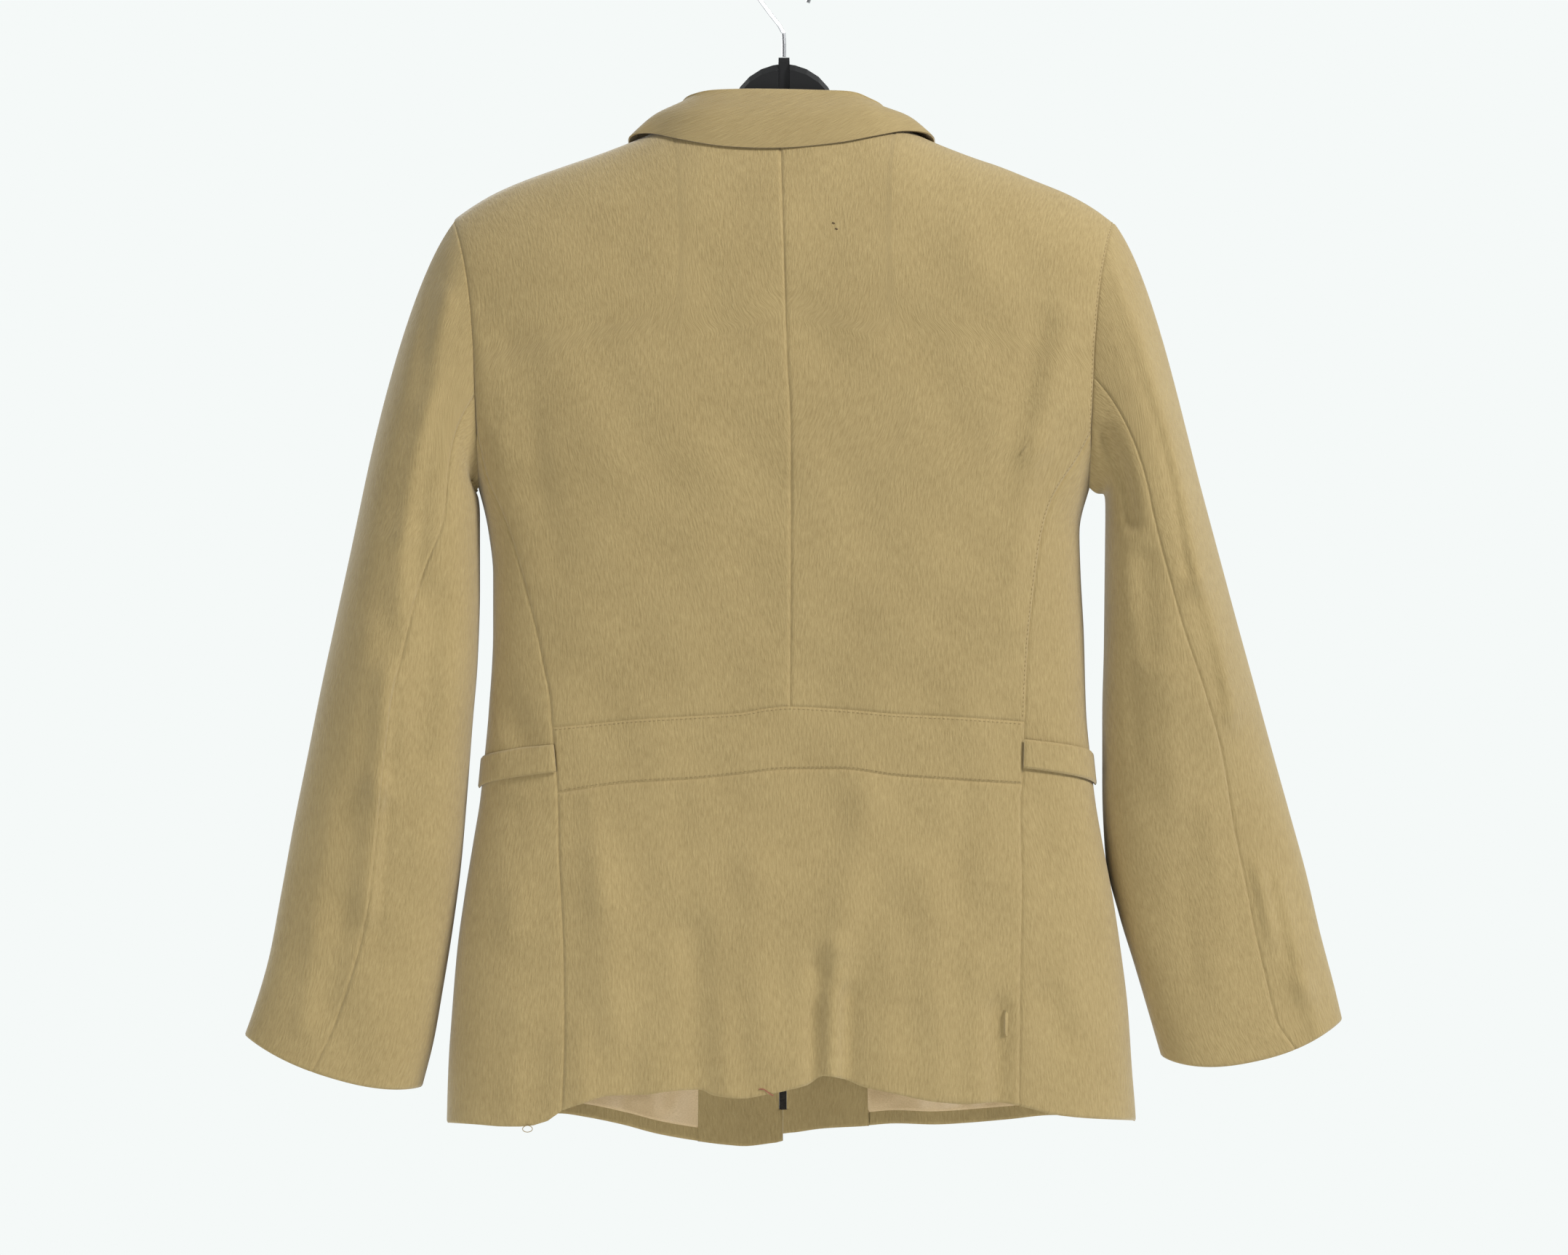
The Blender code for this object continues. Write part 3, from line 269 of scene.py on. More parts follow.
# Collar sections: face, base x, base z, roll x, roll y, roll z, edge x, edge z, lift
# A face of -1 is the back, 1 the front. The left half comes first, from the zip round to the back.
COLLAR = (
    (1, -4.6, -190, -5, 53, -170, -34, -236, 2.0),
    (1, -22, -186.2, -20, 52, -165, -52, -232, 2.0),
    (1, -44, -171, -38, 45, -150, -76, -210, 2.2),
    (1, -61, -147, -53, 33, -128, -91, -178, 2.4),
    (1, -71.5, -122, -63, 18, -106, -98, -146, 2.6),
    (1, -75, -113.5, -66, 10, -99, -100.2, -128, 3.2),
    (0, -76, -107.5, -67, 3, -93, -100.5, -117.7, 3.2),
    (-1, -68, -108.8, -62, -9, -87.5, -88, -113.8, 2.2),
    (-1, -54, -110.6, -50, -15, -84.4, -67, -117.0, 1.6),
    (-1, -32, -111.8, -30, -17, -83.4, -40, -121.0, 1.4),
    (-1, -3, -112, -3, -17.5, -83.6, -3, -122.2, 1.4),
    (-1, 28, -111.8, 26, -17, -84.2, 34, -119.0, 1.4),
    (-1, 50, -110.9, 45, -15, -85.2, 60, -114.6, 1.6),
    (-1, 66, -109.2, 58, -9, -90, 80, -112.2, 2.2),
    (0, 76, -107.5, 65, 3, -95, 96.5, -116.6, 3.2),
    (1, 75, -113.5, 64, 10, -100, 98, -128, 3.2),
    (1, 71.5, -122, 63, 18, -106, 98, -146, 2.6),
    (1, 61, -147, 53, 33, -128, 91, -178, 2.4),
    (1, 44, -171, 38, 45, -150, 76, -210, 2.2),
    (1, 22, -186.2, 20, 52, -165, 52, -232, 2.0),
    (1, 3.2, -190, 3.6, 53, -170, 33, -236, 2.0),
)


# Finer creases of the torso: face, from x, from z, to x, to z, half width, height
FINE_FOLDS = (
    (-1, 172, -330, 158, -420, 6, -1.2),
    (-1, -197, -225, -190, -300, 5, -1.7),
    (-1, -176, -240, -172, -330, 6, 0.9),
    (-1, -168, -300, -150, -400, 9, -0.8),
    (-1, -187, -470, -174, -500, 5, -1.6),
    (-1, -193, -500, -186, -545, 4, 1.2),
    (-1, -160, -556, -178, -562, 5, -1.4),
    (-1, -174, -556, -178, -606, 6, -1.8),
    (-1, -168, -556, -166, -590, 5, 1.0),
    (-1, 168, -556, 176, -600, 6, -1.2),
    (-1, 18, -690, 17, -768, 4, -1.2),
    (-1, 28, -680, 28, -768, 4, 1.2),
    (-1, 40, -680, 39, -768, 4, -1.2),
    (-1, 70, -640, 66, -768, 12, 1.2),
    (-1, 126, -660, 130, -768, 10, 1.2),
    (-1, 188, -640, 196, -740, 9, 1.0),
    (-1, -176, -690, -180, -768, 7, 1.4),
    (-1, -163, -720, -164, -768, 5, -1.4),
    (-1, -135, -700, -132, -768, 8, 1.3),
    (-1, -100, -700, -98, -768, 9, -1.1),
    (-1, -40, -690, -36, -768, 8, 1.2),
    (-1, -128, -550, -121, -620, 8, 1.2),
    (-1, -70, -545, -64, -610, 10, -0.8),
    (-1, 120, -545, 116, -620, 9, -0.9),
    (-1, -110, -150, -122, -200, 14, 0.9),
    (-1, 118, -152, 128, -205, 14, 0.9),
    (1, -150, -240, -128, -330, 9, 1.6),
    (1, 150, -236, 126, -330, 9, 1.5),
    (1, -60, -420, -70, -520, 14, 1.2),
    (1, 52, -440, 60, -540, 14, 1.2),
    (1, -130, -640, -138, -768, 9, -1.4),
    (1, 128, -630, 134, -768, 9, -1.4),
    (1, -34, -560, -30, -700, 10, 1.0),
    (1, 30, -575, 34, -712, 10, -1.0),
    (1, 165, -480, 172, -560, 9, -1.2),
    (1, -165, -480, -172, -560, 9, -1.2),
)

# Finer creases of the sleeves, in the same columns
FINE_SLEEVE_FOLDS = {
    -1: (
        (-1, -249, -206, -252, -286, 4, 1.4),
        (-1, -234, -206, -240, -260, 3.5, -1.2),
        (-1, -252, -380, -254, -430, 7, 1.4),
        (-1, -243, -330, -240, -420, 7, -1.4),
        (-1, -275, -440, -286, -520, 9, 1.3),
        (-1, -256, -480, -262, -560, 4, -1.5),
        (-1, -262, -560, -268, -640, 4, -1.4),
        (-1, -300, -560, -312, -640, 9, 1.2),
        (-1, -288, -620, -300, -690, 8, -1.2),
        (-1, -310, -640, -318, -700, 7, 1.2),
        (1, -250, -300, -262, -380, 9, 1.6),
        (1, -290, -500, -306, -620, 10, 1.4),
        (1, -262, -560, -276, -660, 9, -1.6),
    ),
    1: (
        (-1, 222, -199, 246, -258, 3, -1.6),
        (-1, 228, -204, 238, -240, 3, 1.4),
        (-1, 250, -300, 266, -400, 4, -1.6),
        (-1, 268, -400, 290, -486, 5, -1.5),
        (-1, 290, -470, 296, -500, 5, 1.4),
        (-1, 252, -470, 258, -560, 10, 1.2),
        (-1, 226, -440, 232, -520, 6, -1.4),
        (-1, 306, -596, 316, -640, 4, -1.3),
        (-1, 320, -602, 334, -660, 4, -1.4),
        (-1, 280, -560, 292, -640, 8, 1.2),
        (-1, 262, -600, 272, -670, 8, -1.2),
        (-1, 334, -560, 350, -640, 7, 1.1),
        (1, 240, -300, 252, -380, 9, 1.6),
        (1, 290, -500, 306, -620, 10, 1.4),
        (1, 262, -560, 276, -660, 9, -1.6),
    ),
}

# Diagonal creases of the lining, in the columns of the folds
LINING_FOLDS = (
    (1, 24, -700, 60, -764, 5, -1.6),
    (1, 56, -752, 84, -738, 4, -2.0),
    (1, 70, -764, 100, -742, 4, -1.6),
    (1, 92, -720, 104, -764, 5, 1.0),
    (1, 110, -700, 122, -766, 5, -1.8),
    (1, -70, -748, -100, -764, 4, -1.6),
    (1, -60, -700, -84, -766, 6, -1.8),
    (1, -96, -720, -112, -768, 5, 1.0),
    (1, -130, -700, -140, -766, 6, -1.6),
)

# Rows and columns of the solids' grids.
UPPER_ROWS = 7
SKIRT_ROWS = 10
NECK_COLUMNS = 4
SHOULDER_COLUMNS = 6
COLUMNS = NECK_COLUMNS + SHOULDER_COLUMNS
FACING_COLUMNS = 3
LINING_ROW = 12
LINING_RISE = 9.0
ARM_GAP = -1.0

# The solids' folds stand this much fuller in the cloth.
FOLD_GAIN = 1.4

# Distances from a seam at which the cloth gets a row of its own.
EDGE_STEPS = (0.45, 1.1, 2.2)


def column(table, at, index):
    """One column of a table on a smooth line: a cubic through its rows that never overshoots them.

    The slope at a row is the weighted harmonic mean of the slopes beside it, and zero at a turning point.
    """
    rows = np.array(sorted((row[0], row[index]) for row in table), float)
    place, value = rows[:, 0], rows[:, 1]
    gap = np.diff(place)
    rise = np.diff(value) / gap
    before, after = rise[:-1], rise[1:]
    first, second = gap[:-1], gap[1:]
    same = before * after > 0
    safe_before, safe_after = np.where(same, before, 1.0), np.where(same, after, 1.0)
    mean = 3 * (first + second) / ((2 * second + first) / safe_before + (second + 2 * first) / safe_after)
    slope = np.concatenate([rise[:1], np.where(same, mean, 0.0), rise[-1:]])
    at = np.clip(np.asarray(at, float), place[0], place[-1])
    k = np.clip(np.searchsorted(place, at, side="right") - 1, 0, len(gap) - 1)
    t = (at - place[k]) / gap[k]
    return (
        (2 * t**3 - 3 * t**2 + 1) * value[k] + (t**3 - 2 * t**2 + t) * gap[k] * slope[k]
        + (3 * t**2 - 2 * t**3) * value[k + 1] + (t**3 - t**2) * gap[k] * slope[k + 1]
    )


def denser(values):
    """The same list with DETAIL equal steps between each two of its values."""
    values = np.asarray(values, float)
    at = np.arange((len(values) - 1) * DETAIL + 1) / DETAIL
    return np.interp(at, np.arange(len(values)), values)


def real(x, y, z):
    """Takes a point of the straight view at depth y to its true place, the hook's inside top staying at zero."""
    grow = 1 + (y - NEAR_FACE) / VIEW
    sink = EYE_LEVEL * NEAR_FACE / VIEW
    return np.stack([x * grow, y + 0 * x, EYE_LEVEL + (z - EYE_LEVEL) * grow - sink], axis=-1)


def unit(vector):
    return vector / np.linalg.norm(vector, axis=-1, keepdims=True)


def folds(table, face, x, z):
    """Sum of bell-shaped ridges and troughs, each highest halfway along its line and fading to its ends."""
    total = np.zeros(np.broadcast(x, z).shape)
    for side, x1, z1, x2, z2, half, height in table:
        along = np.array([x2 - x1, z2 - z1], float)
        length = float(along @ along)
        part = np.clip(((x - x1) * along[0] + (z - z1) * along[1]) / length, 0, 1)
        away = np.hypot(x - x1 - part * along[0], z - z1 - part * along[1])
        total += np.where(face == side, height * np.exp(-((away / half) ** 2)), 0)
    return total


def ripple(x, z):
    """Slow unevenness of hanging cloth: three crossing sine waves, each under half a millimetre."""
    return (
        0.34 * np.sin(x / 11.0 + 1.7 * np.sin(z / 47.0))
        + 0.26 * np.sin(z / 17.0 + 1.3 * np.sin(x / 29.0 + 0.6))
        + 0.22 * np.sin((x + 0.7 * z) / 8.5 + 0.9 * np.sin((x - z) / 37.0))
    )


def half_width(level, x_sign):
    centre = column(BODY, level, 3)
    left = centre - column(BODY, level, 1)
    right = column(BODY, level, 2) - centre
    return np.where(x_sign < 0, left, right)


def torso_seen(turn, height):
    """Point of the torso: turn is the angle round from the centre back, height its ring.

    Each ring is a squared oval, and above the cap level it leans in to the shoulder line on a quarter oval.
    """
    level = np.minimum(height, CAP_LEVEL)
    lean = np.clip((height - CAP_LEVEL) / CAP_SPAN, 0, 1) * math.pi / 2
    sine, cosine = np.sin(turn), np.cos(turn)
    ring = (np.abs(sine) ** SQUARE + np.abs(cosine) ** SQUARE) ** (1 / SQUARE)
    across, deep = sine / ring, cosine / ring
    x = column(BODY, level, 3) + half_width(level, sine) * across
    depth = np.where(deep > 0, column(BODY, level, 4), column(BODY, level, 5))
    z = np.where(height > CAP_LEVEL, CAP_LEVEL + (column(SHOULDER, x, 1) - CAP_LEVEL) * np.sin(lean), height)
    face = np.where(deep > 0, -1, 1)
    strength = bpy.context.scene.jacket_cloth.crease_strength
    fine = folds(FINE_FOLDS, face, x, z) + ripple(x + 400 * face, z)
    bump = FOLD_GAIN * folds(TORSO_FOLDS, face, x, z) + strength * fine
    y = -deep * np.cos(lean) * (depth + bump)
    return x, y, z


def torso(turn, height):
    return real(*torso_seen(turn, height))


def on_torso(face, x, z, side=0):
    """Turn and height of the torso point that shows at x, z on the back (-1) or the front (1).

    A side of -1 or 1 keeps the turns of a front panel together across the centre front.
    """
    x, z = np.asarray(x, float), np.asarray(z, float)
    level = np.minimum(z, CAP_LEVEL)
    offset = x - column(BODY, level, 3)
    across = np.clip(offset / half_width(level, offset), -1, 1)
    deep = (1 - np.abs(across) ** SQUARE) ** (1 / SQUARE)
    turn = np.arctan2(across, deep)
    half_turn = np.where(turn < 0, -math.pi, math.pi) if side == 0 else side * math.pi
    turn = np.where(np.asarray(face) > 0, half_turn - turn, turn)
    top = column(SHOULDER, x, 1)
    rise = np.clip((z - CAP_LEVEL) / (top - CAP_LEVEL), 0, 1)
    height = np.where(z > CAP_LEVEL, CAP_LEVEL + CAP_SPAN * np.arcsin(rise) / (math.pi / 2), z)
    return np.stack([turn, height], axis=-1)


def armhole(side, angle):
    """Turn and height on the armhole, angle in degrees from the shoulder over the back."""
    angle = np.asarray(angle, float)
    middle, reach = (ARM_TOP + ARM_LOW) / 2, (ARM_TOP - ARM_LOW) / 2
    z = middle + reach * np.cos(np.radians(angle))
    x = side * column(ARMHOLE, z, 1)
    face = np.where(angle <= 180, -1, 1)
    # The lowest point lies on the very side of the ring and the highest on the shoulder line.
    low = np.abs(angle - 180) < 0.01
    x = np.where(low, side * 260, x)
    spot = on_torso(face, x, z)
    spot[..., 1] = np.where((angle < 0.01) | (angle > 359.99), CAP_LEVEL + CAP_SPAN, spot[..., 1])
    spot[..., 0] = np.where(low, side * math.pi / 2, spot[..., 0])
    return spot


def normals(surface, u, v, du, dv):
    """Unit normals of a surface by small steps on both of its measures."""
    along = surface(u + du, v) - surface(u - du, v)
    down = surface(u, v + dv) - surface(u, v - dv)
    return unit(np.cross(along, down))


def torso_normals(turn, height):
    """Normals of the torso, turned away from its upright core."""
    height = np.minimum(height, CAP_LEVEL + CAP_SPAN - 0.05)
    outward = normals(torso, turn, height, 2e-3, 0.04)
    middle = torso(turn, height)
    from_core = middle - np.array([0, 0, CORE_TOP])
    from_core[..., 2] = np.maximum(from_core[..., 2], 0)
    return middle, outward * np.sign((outward * from_core).sum(axis=-1, keepdims=True))


def patch(top, bottom, left, right, steps):
    """Fills four edge lines with a grid: the two ruled surfaces added, less the one through the corners."""
    down = np.asarray(steps)[:, None, None]
    over = np.linspace(0, 1, len(top))[None, :, None]
    corners = (
        (1 - down) * (1 - over) * top[0] + (1 - down) * over * top[-1]
        + down * (1 - over) * bottom[0] + down * over * bottom[-1]
    )
    lines = (1 - down) * top[None] + down * bottom[None] + (1 - over) * left[:, None] + over * right[:, None]
    return lines - corners


def row_steps(levels):
    return (levels - levels[0]) / (levels[-1] - levels[0])


def arm_levels(angles):
    return (ARM_TOP + ARM_LOW) / 2 + (ARM_TOP - ARM_LOW) / 2 * np.cos(np.radians(angles))


def seam_angle(side):
    return SLEEVE_SEAM[side][0][1]


def back_angles(side):
    """Armhole angles from the shoulder to the curved back seam, finer at the shoulder."""
    seam = seam_angle(side)
    return denser([0, 7, 18, 33, 50, 68, 86, seam, (seam + PRINCESS_AT) / 2, PRINCESS_AT])


def front_angles():
    return denser([FRONT_SEAM_AT, SLEEVE_FRONT_AT, 270, 288, 305, 320, 334, 345, 353, 360])


def low_angles():
    return denser(np.linspace(PRINCESS_AT, FRONT_SEAM_AT, 9))


def side_levels(side, which):
    """Levels of the side panel rows below the armhole: 0 on the back seam, 1 at the side, 2 on the front seam."""
    start = arm_levels(PRINCESS_AT) if which != 1 else ARM_LOW
    belt = [row[which] for row in BELT_ROWS[side]]
    back_end = column(HEM_BACK, column(PRINCESS[side], -754, 1), 1)
    front_end = column(HEM_FRONT, side * column(FRONT_SEAM, -760, 1), 1)
    end = (back_end, -763.5, front_end)[which]
    upper = np.linspace(start, belt[0], UPPER_ROWS + 1)
    lower = np.linspace(belt[-1], end, SKIRT_ROWS + 1)
    return denser(np.concatenate([upper, belt[1:-1], lower]))


def back_seam(side):
    z = side_levels(side, 0)
    return on_torso(-1, column(PRINCESS[side], z, 1), z)


def front_seam(side):
    z = side_levels(side, 2)
    return on_torso(1, side * column(FRONT_SEAM, z, 1), z)


def shoulder_line(side, face):
    """Points of the shoulder seam from the neck out."""
    tip = side * column(ARMHOLE, ARM_TOP, 1)
    x = np.linspace(side * NECK_HALF, tip, SHOULDER_COLUMNS * DETAIL + 1)
    spots = on_torso(face, x, column(SHOULDER, x, 1))
    spots[:, 1] = CAP_LEVEL + CAP_SPAN
    return spots


def back_top(side):
    x = np.linspace(column(CENTRE_BACK, NECK_LEVEL, 1), side * NECK_HALF, NECK_COLUMNS * DETAIL + 1)
    neck = on_torso(-1, x, column(NECK_BACK, x, 1))
    neck[-1, 1] = CAP_LEVEL + CAP_SPAN
    return np.concatenate([neck, shoulder_line(side, -1)[1:]])


def waist_line(side, index):
    """Waist band seam from the centre back out, index 1 its top and 2 its bottom."""
    level = (BELT_ROWS[side][0][0], BELT_ROWS[side][-1][0])[index - 1]
    x = np.linspace(column(CENTRE_BACK, -490, 1), column(PRINCESS[side], level, 1), COLUMNS * DETAIL + 1)
    z = column(WAIST, x, index)
    z += (level - z[-1]) * np.linspace(0, 1, len(z)) ** 6
    return on_torso(-1, x, z)


def hem_line_back(side):
    end = side_levels(side, 0)[-1]
    x = np.linspace(column(CENTRE_BACK, -490, 1), column(PRINCESS[side], end, 1), COLUMNS * DETAIL + 1)
    z = column(HEM_BACK, x, 1)
    z += (end - z[-1]) * np.linspace(0, 1, len(z)) ** 6
    return on_torso(-1, x, z)


def back_panel(side):
    top, bottom = back_top(side), waist_line(side, 1)
    angles = back_angles(side)
    stop = UPPER_ROWS * DETAIL + 1
    edge = np.concatenate([armhole(side, angles), back_seam(side)[1:stop]])
    levels = np.concatenate([arm_levels(angles), side_levels(side, 0)[1:stop]])
    steps = row_steps(levels)
    z = NECK_LEVEL + steps * (column(WAIST, 3.9, 1) - NECK_LEVEL)
    x = column(CENTRE_BACK, z, 1)
    return patch(top, bottom, on_torso(-1, x, z), edge, steps)


def band_half(side):
    """Half of the waist band, its outer edge on the side panel's rows."""
    top, bottom = waist_line(side, 1), waist_line(side, 2)
    outer = back_seam(side)[UPPER_ROWS * DETAIL:(UPPER_ROWS + 4) * DETAIL + 1]
    steps = row_steps(outer[:, 1])
    inner = top[0] + steps[:, None] * (bottom[0] - top[0])
    return patch(top, bottom, inner, outer, steps)


def skirt_half(side):
    top, bottom = waist_line(side, 2), hem_line_back(side)
    outer = back_seam(side)[(UPPER_ROWS + 4) * DETAIL:]
    steps = row_steps(outer[:, 1])
    inner = top[0] + steps[:, None] * (bottom[0] - top[0])
    return patch(top, bottom, inner, outer, steps)


def joined(half_of):
    """Both halves of a piece that crosses the centre back."""
    return np.concatenate([half_of(-1)[:, :0:-1], half_of(1)], axis=1)


def side_panel(side):
    """Side panel from the back seam round to the front seam, its rows bowed to the levels at the side."""
    back, front = back_seam(side), front_seam(side)
    top = armhole(side, low_angles())
    levels = side_levels(side, 1)
    over = np.linspace(0, 1, len(top))[None, :]
    turn = back[:, :1] + over * (front[:, :1] - back[:, :1])
    bend = 1 - np.abs(2 * over - 1) ** 1.6
    height = back[:, 1:] + over * (front[:, 1:] - back[:, 1:])
    height = height + bend * (levels - (back[:, 1] + front[:, 1]) / 2)[:, None]
    # The lowest rows ease down to the back hem's own line.
    hem = column(HEM_BACK, torso_seen(turn[-1], height[-1])[0], 1) - height[-1]
    ease = np.clip(np.linspace(-1.2, 1, len(height)), 0, 1)[:, None] ** 3
    height = height + np.where(np.abs(turn[-1]) < math.pi / 2, hem, 0) * ease
    rows = np.stack([turn, height], axis=-1)
    rows[0] = top
    return rows


def front_neck(side, first):
    """Front neckline from the zip out to the shoulder, a power curve of the distance from the middle."""
    x = np.array([first, *(side * NECK_HALF * np.array([0.42, 0.72, 0.92])), side * NECK_HALF])
    x = denser(x)
    z = NECK_FRONT + (NECK_SIDE - NECK_FRONT) * np.abs(x / NECK_HALF) ** NECK_CURVE
    spots = on_torso(1, x, z, side)
    spots[-1, 1] = CAP_LEVEL + CAP_SPAN
    return spots


def front_panel(side):
    """Front from the zip out to the side seam, its middle edge stepping in below the zip's end."""
    edge_x = ZIP_X + side * ZIP_CLEAR
    top = np.concatenate([front_neck(side, edge_x), shoulder_line(side, 1)[1:]])
    angles = front_angles()[::-1]
    seam = front_seam(side)
    outer = np.concatenate([armhole(side, angles), seam[1:]])
    levels = np.concatenate([arm_levels(angles), side_levels(side, 2)[1:]])
    steps = row_steps(levels)
    end = column(HEM_FRONT, ZIP_X + side * 1.5, 1)
    z = NECK_FRONT + steps * (end - NECK_FRONT)
    first_below = np.flatnonzero(z < ZIP_END)[0]
    z[first_below - 1], z[first_below] = ZIP_END + 0.6, ZIP_END + 0.3
    hem_x = np.linspace(edge_x, side * column(FRONT_SEAM, -760, 1), COLUMNS * DETAIL + 1)
    hem_z = column(HEM_FRONT, hem_x, 1)
    hem_z += (seam[-1, 1] - hem_z[-1]) * np.linspace(0, 1, len(hem_z)) ** 6
    hem_z += (z[-1] - hem_z[0]) * np.linspace(1, 0, len(hem_z)) ** 6
    grid = patch(top, on_torso(1, hem_x, hem_z, side), on_torso(1, edge_x + 0 * z, z, side), outer, steps)
    # The step fades out over the first tenth of the panel's width.
    inner_x = ZIP_X + side * 0.02
    shift = on_torso(1, inner_x + 0 * z, z, side)[:, 0] - on_torso(1, edge_x + 0 * z, z, side)[:, 0]
    fade = np.clip(1 - np.linspace(0, 1, grid.shape[1]) * 8, 0, 1) ** 2
    grid[first_below:, :, 0] += shift[first_below:, None] * fade[None, :]
    return grid


def sleeve_seen(side, angle, way):
    """Point of a sleeve: angle in degrees from the outer edge over the back, way down in rings.

    Up to ring 1 each line swings out of the armhole on a cubic, and below that the rings are squared ovals.
    """
    angle, way = np.broadcast_arrays(np.asarray(angle, float), np.asarray(way, float))
    table = [(ring + 1, *row) for ring, row in enumerate(SLEEVE[side])]
    at = np.clip(way, 1, len(table))
    ox, oz, ix, iz, half, mid_y, drop = (column(table, at, k) for k in range(1, 8))
    sine, cosine = np.sin(np.radians(angle)), np.cos(np.radians(angle))
    ring = (np.abs(sine) ** 2.3 + np.abs(cosine) ** 2.3) ** (1 / 2.3)
    out, back = cosine / ring, sine / ring
    x = (ox + ix) / 2 + out * (ox - ix) / 2
    z = (oz + iz) / 2 + out * (oz - iz) / 2 - drop * back**2 + np.where(back < 0, 7 * (at / 10) ** 2 * back**2, 0)
    y = mid_y - back * half
    face = np.where(back > 0, -1, 1)
    strength = bpy.context.scene.jacket_cloth.crease_strength
    fine = folds(FINE_SLEEVE_FOLDS[side], face, x, z) + ripple(x + 90, z + 60)
    y = y - back * (FOLD_GAIN * folds(SLEEVE_FOLDS[side], face, x, z) + strength * fine)
    spot = armhole(side, angle)
    ax, ay, az = torso_seen(spot[..., 0], spot[..., 1])
    t = np.clip(way, 0, 1)
    up = (1 + cosine) / 2
    pull = 48 + 70 * up**1.5
    sx, sy, sz = side * 0.62 * pull, -0.16 * back * pull, -0.78 * pull
    first, second = table[0][1:], table[1][1:]
    ex = (1 + out) / 2 * (second[0] - first[0]) + (1 - out) / 2 * (second[2] - first[2])
    ez = second[1] - first[1]
    reach = 2.2 + 1.8 * up
    h1, h2 = 2 * t**3 - 3 * t**2 + 1, t**3 - 2 * t**2 + t
    h3, h4 = -2 * t**3 + 3 * t**2, t**3 - t**2
    top_x = h1 * ax + h2 * sx + h3 * x + h4 * ex * reach
    top_y = h1 * ay + h2 * sy + h3 * y
    top_z = h1 * az + h2 * sz + h3 * z + h4 * ez * reach
    crease = FOLD_GAIN * folds(SLEEVE_FOLDS[side], face, top_x, top_z)
    crease += strength * folds(FINE_SLEEVE_FOLDS[side], face, top_x, top_z)
    face_top = crease * np.minimum(1, t * 6) * np.abs(back) * (1 - h3)
    top_y = top_y + np.where(face < 0, -1, 1) * face_top
    upper = way < 1
    return np.where(upper, top_x, x), np.where(upper, top_y, y), np.where(upper, top_z, z)


SLEEVE_WAYS = denser([0, 0.12, 0.26, 0.42, 0.6, 0.8, 1, 1.5, 2, 2.6, 3.2, 3.8, 4.4, 5, 5.6, 6.2,
                      6.9, 7.6, 8.3, 9, 9.5, 10])


def sleeve_angles(side, under):
    """Angles of a sleeve piece between its two seams, a row for each way down."""
    seam = column(SLEEVE_SEAM[side], SLEEVE_WAYS, 1)
    back, low, front = back_angles(side), low_angles(), front_angles()
    if under:
        first = np.concatenate([back[7 * DETAIL:], low[1:], front[1:DETAIL + 1]])
        ends = np.stack([seam, np.full(len(seam), SLEEVE_FRONT_AT)], axis=1)
    else:
        first = np.concatenate([front[DETAIL:] - 360, back[1:7 * DETAIL + 1]])
        ends = np.stack([np.full(len(seam), SLEEVE_FRONT_AT - 360), seam], axis=1)
    share = (first - first[0]) / (first[-1] - first[0])
    even = np.linspace(0, 1, len(first))
    mix = np.clip(SLEEVE_WAYS, 0, 1)[:, None]
    share = (1 - mix) * share + mix * even
    return ends[:, :1] + share * (ends[:, 1:] - ends[:, :1])


def sleeve_normals(side, grid):
    """Points and normals of a sleeve piece, the normals at the armhole leaning to the torso's own."""
    def surface(angle, way):
        return real(*sleeve_seen(side, angle, way))

    angles, way = grid[..., 0] % 360, grid[..., 1]
    outward = normals(surface, angles, np.clip(way, 0.004, None), 0.4, 0.003)
    middle = surface(angles, way)
    hub = sum(surface(quarter + 0 * way, way) for quarter in (0.0, 90.0, 180.0, 270.0)) / 4
    outward *= np.sign((outward * (middle - hub)).sum(axis=-1, keepdims=True))
    start = unit(surface(angles, 0.12 + 0 * way) - surface(angles, 0 * way))
    rim = armhole(side, angles)
    cloth = torso_normals(rim[..., 0], rim[..., 1])[1]
    share = np.clip(np.cos(np.radians(angles)) + 0.4, 0, 1)
    near = (np.clip(1 - way / 0.03, 0, 1) * share)[..., None]
    outward = unit(outward * (1 - near) + cloth * near)
    lift = np.clip(1 - way / 0.12, 0, 1)[..., None]
    return middle + lift * start * ARM_GAP, outward


def with_edge_rows(grid, points_of, edges):
    """Adds rows and columns beside the named edges (t, b, l, r), EDGE_STEPS millimetres in from them."""
    for edge in "tblr":
        if edge not in edges:
            continue
        turned = grid if edge in "tb" else np.swapaxes(grid, 0, 1)
        turned = turned[::-1] if edge in "br" else turned
        far = np.linalg.norm(points_of(turned[:2])[0][1] - points_of(turned[:2])[0][0], axis=-1)
        added = []
        for step, most in zip(EDGE_STEPS, (0.2, 0.45, 0.75)):
            share = np.minimum(step / np.maximum(far, 1e-6), most)[:, None]
            added.append(turned[0] + (turned[1] - turned[0]) * share)
        turned = np.concatenate([turned[:1], np.array(added), turned[1:]])
        turned = turned[::-1] if edge in "br" else turned
        grid = turned if edge in "tb" else np.swapaxes(turned, 0, 1)
    return grid


def run_lengths(points):
    """Distance from the first row down each column, and from the first column along each row."""
    down = np.linalg.norm(np.diff(points, axis=0), axis=-1)
    over = np.linalg.norm(np.diff(points, axis=1), axis=-1)
    down = np.concatenate([np.zeros((1, points.shape[1])), np.cumsum(down, axis=0)])
    over = np.concatenate([np.zeros((points.shape[0], 1)), np.cumsum(over, axis=1)], axis=1)
    return down, over


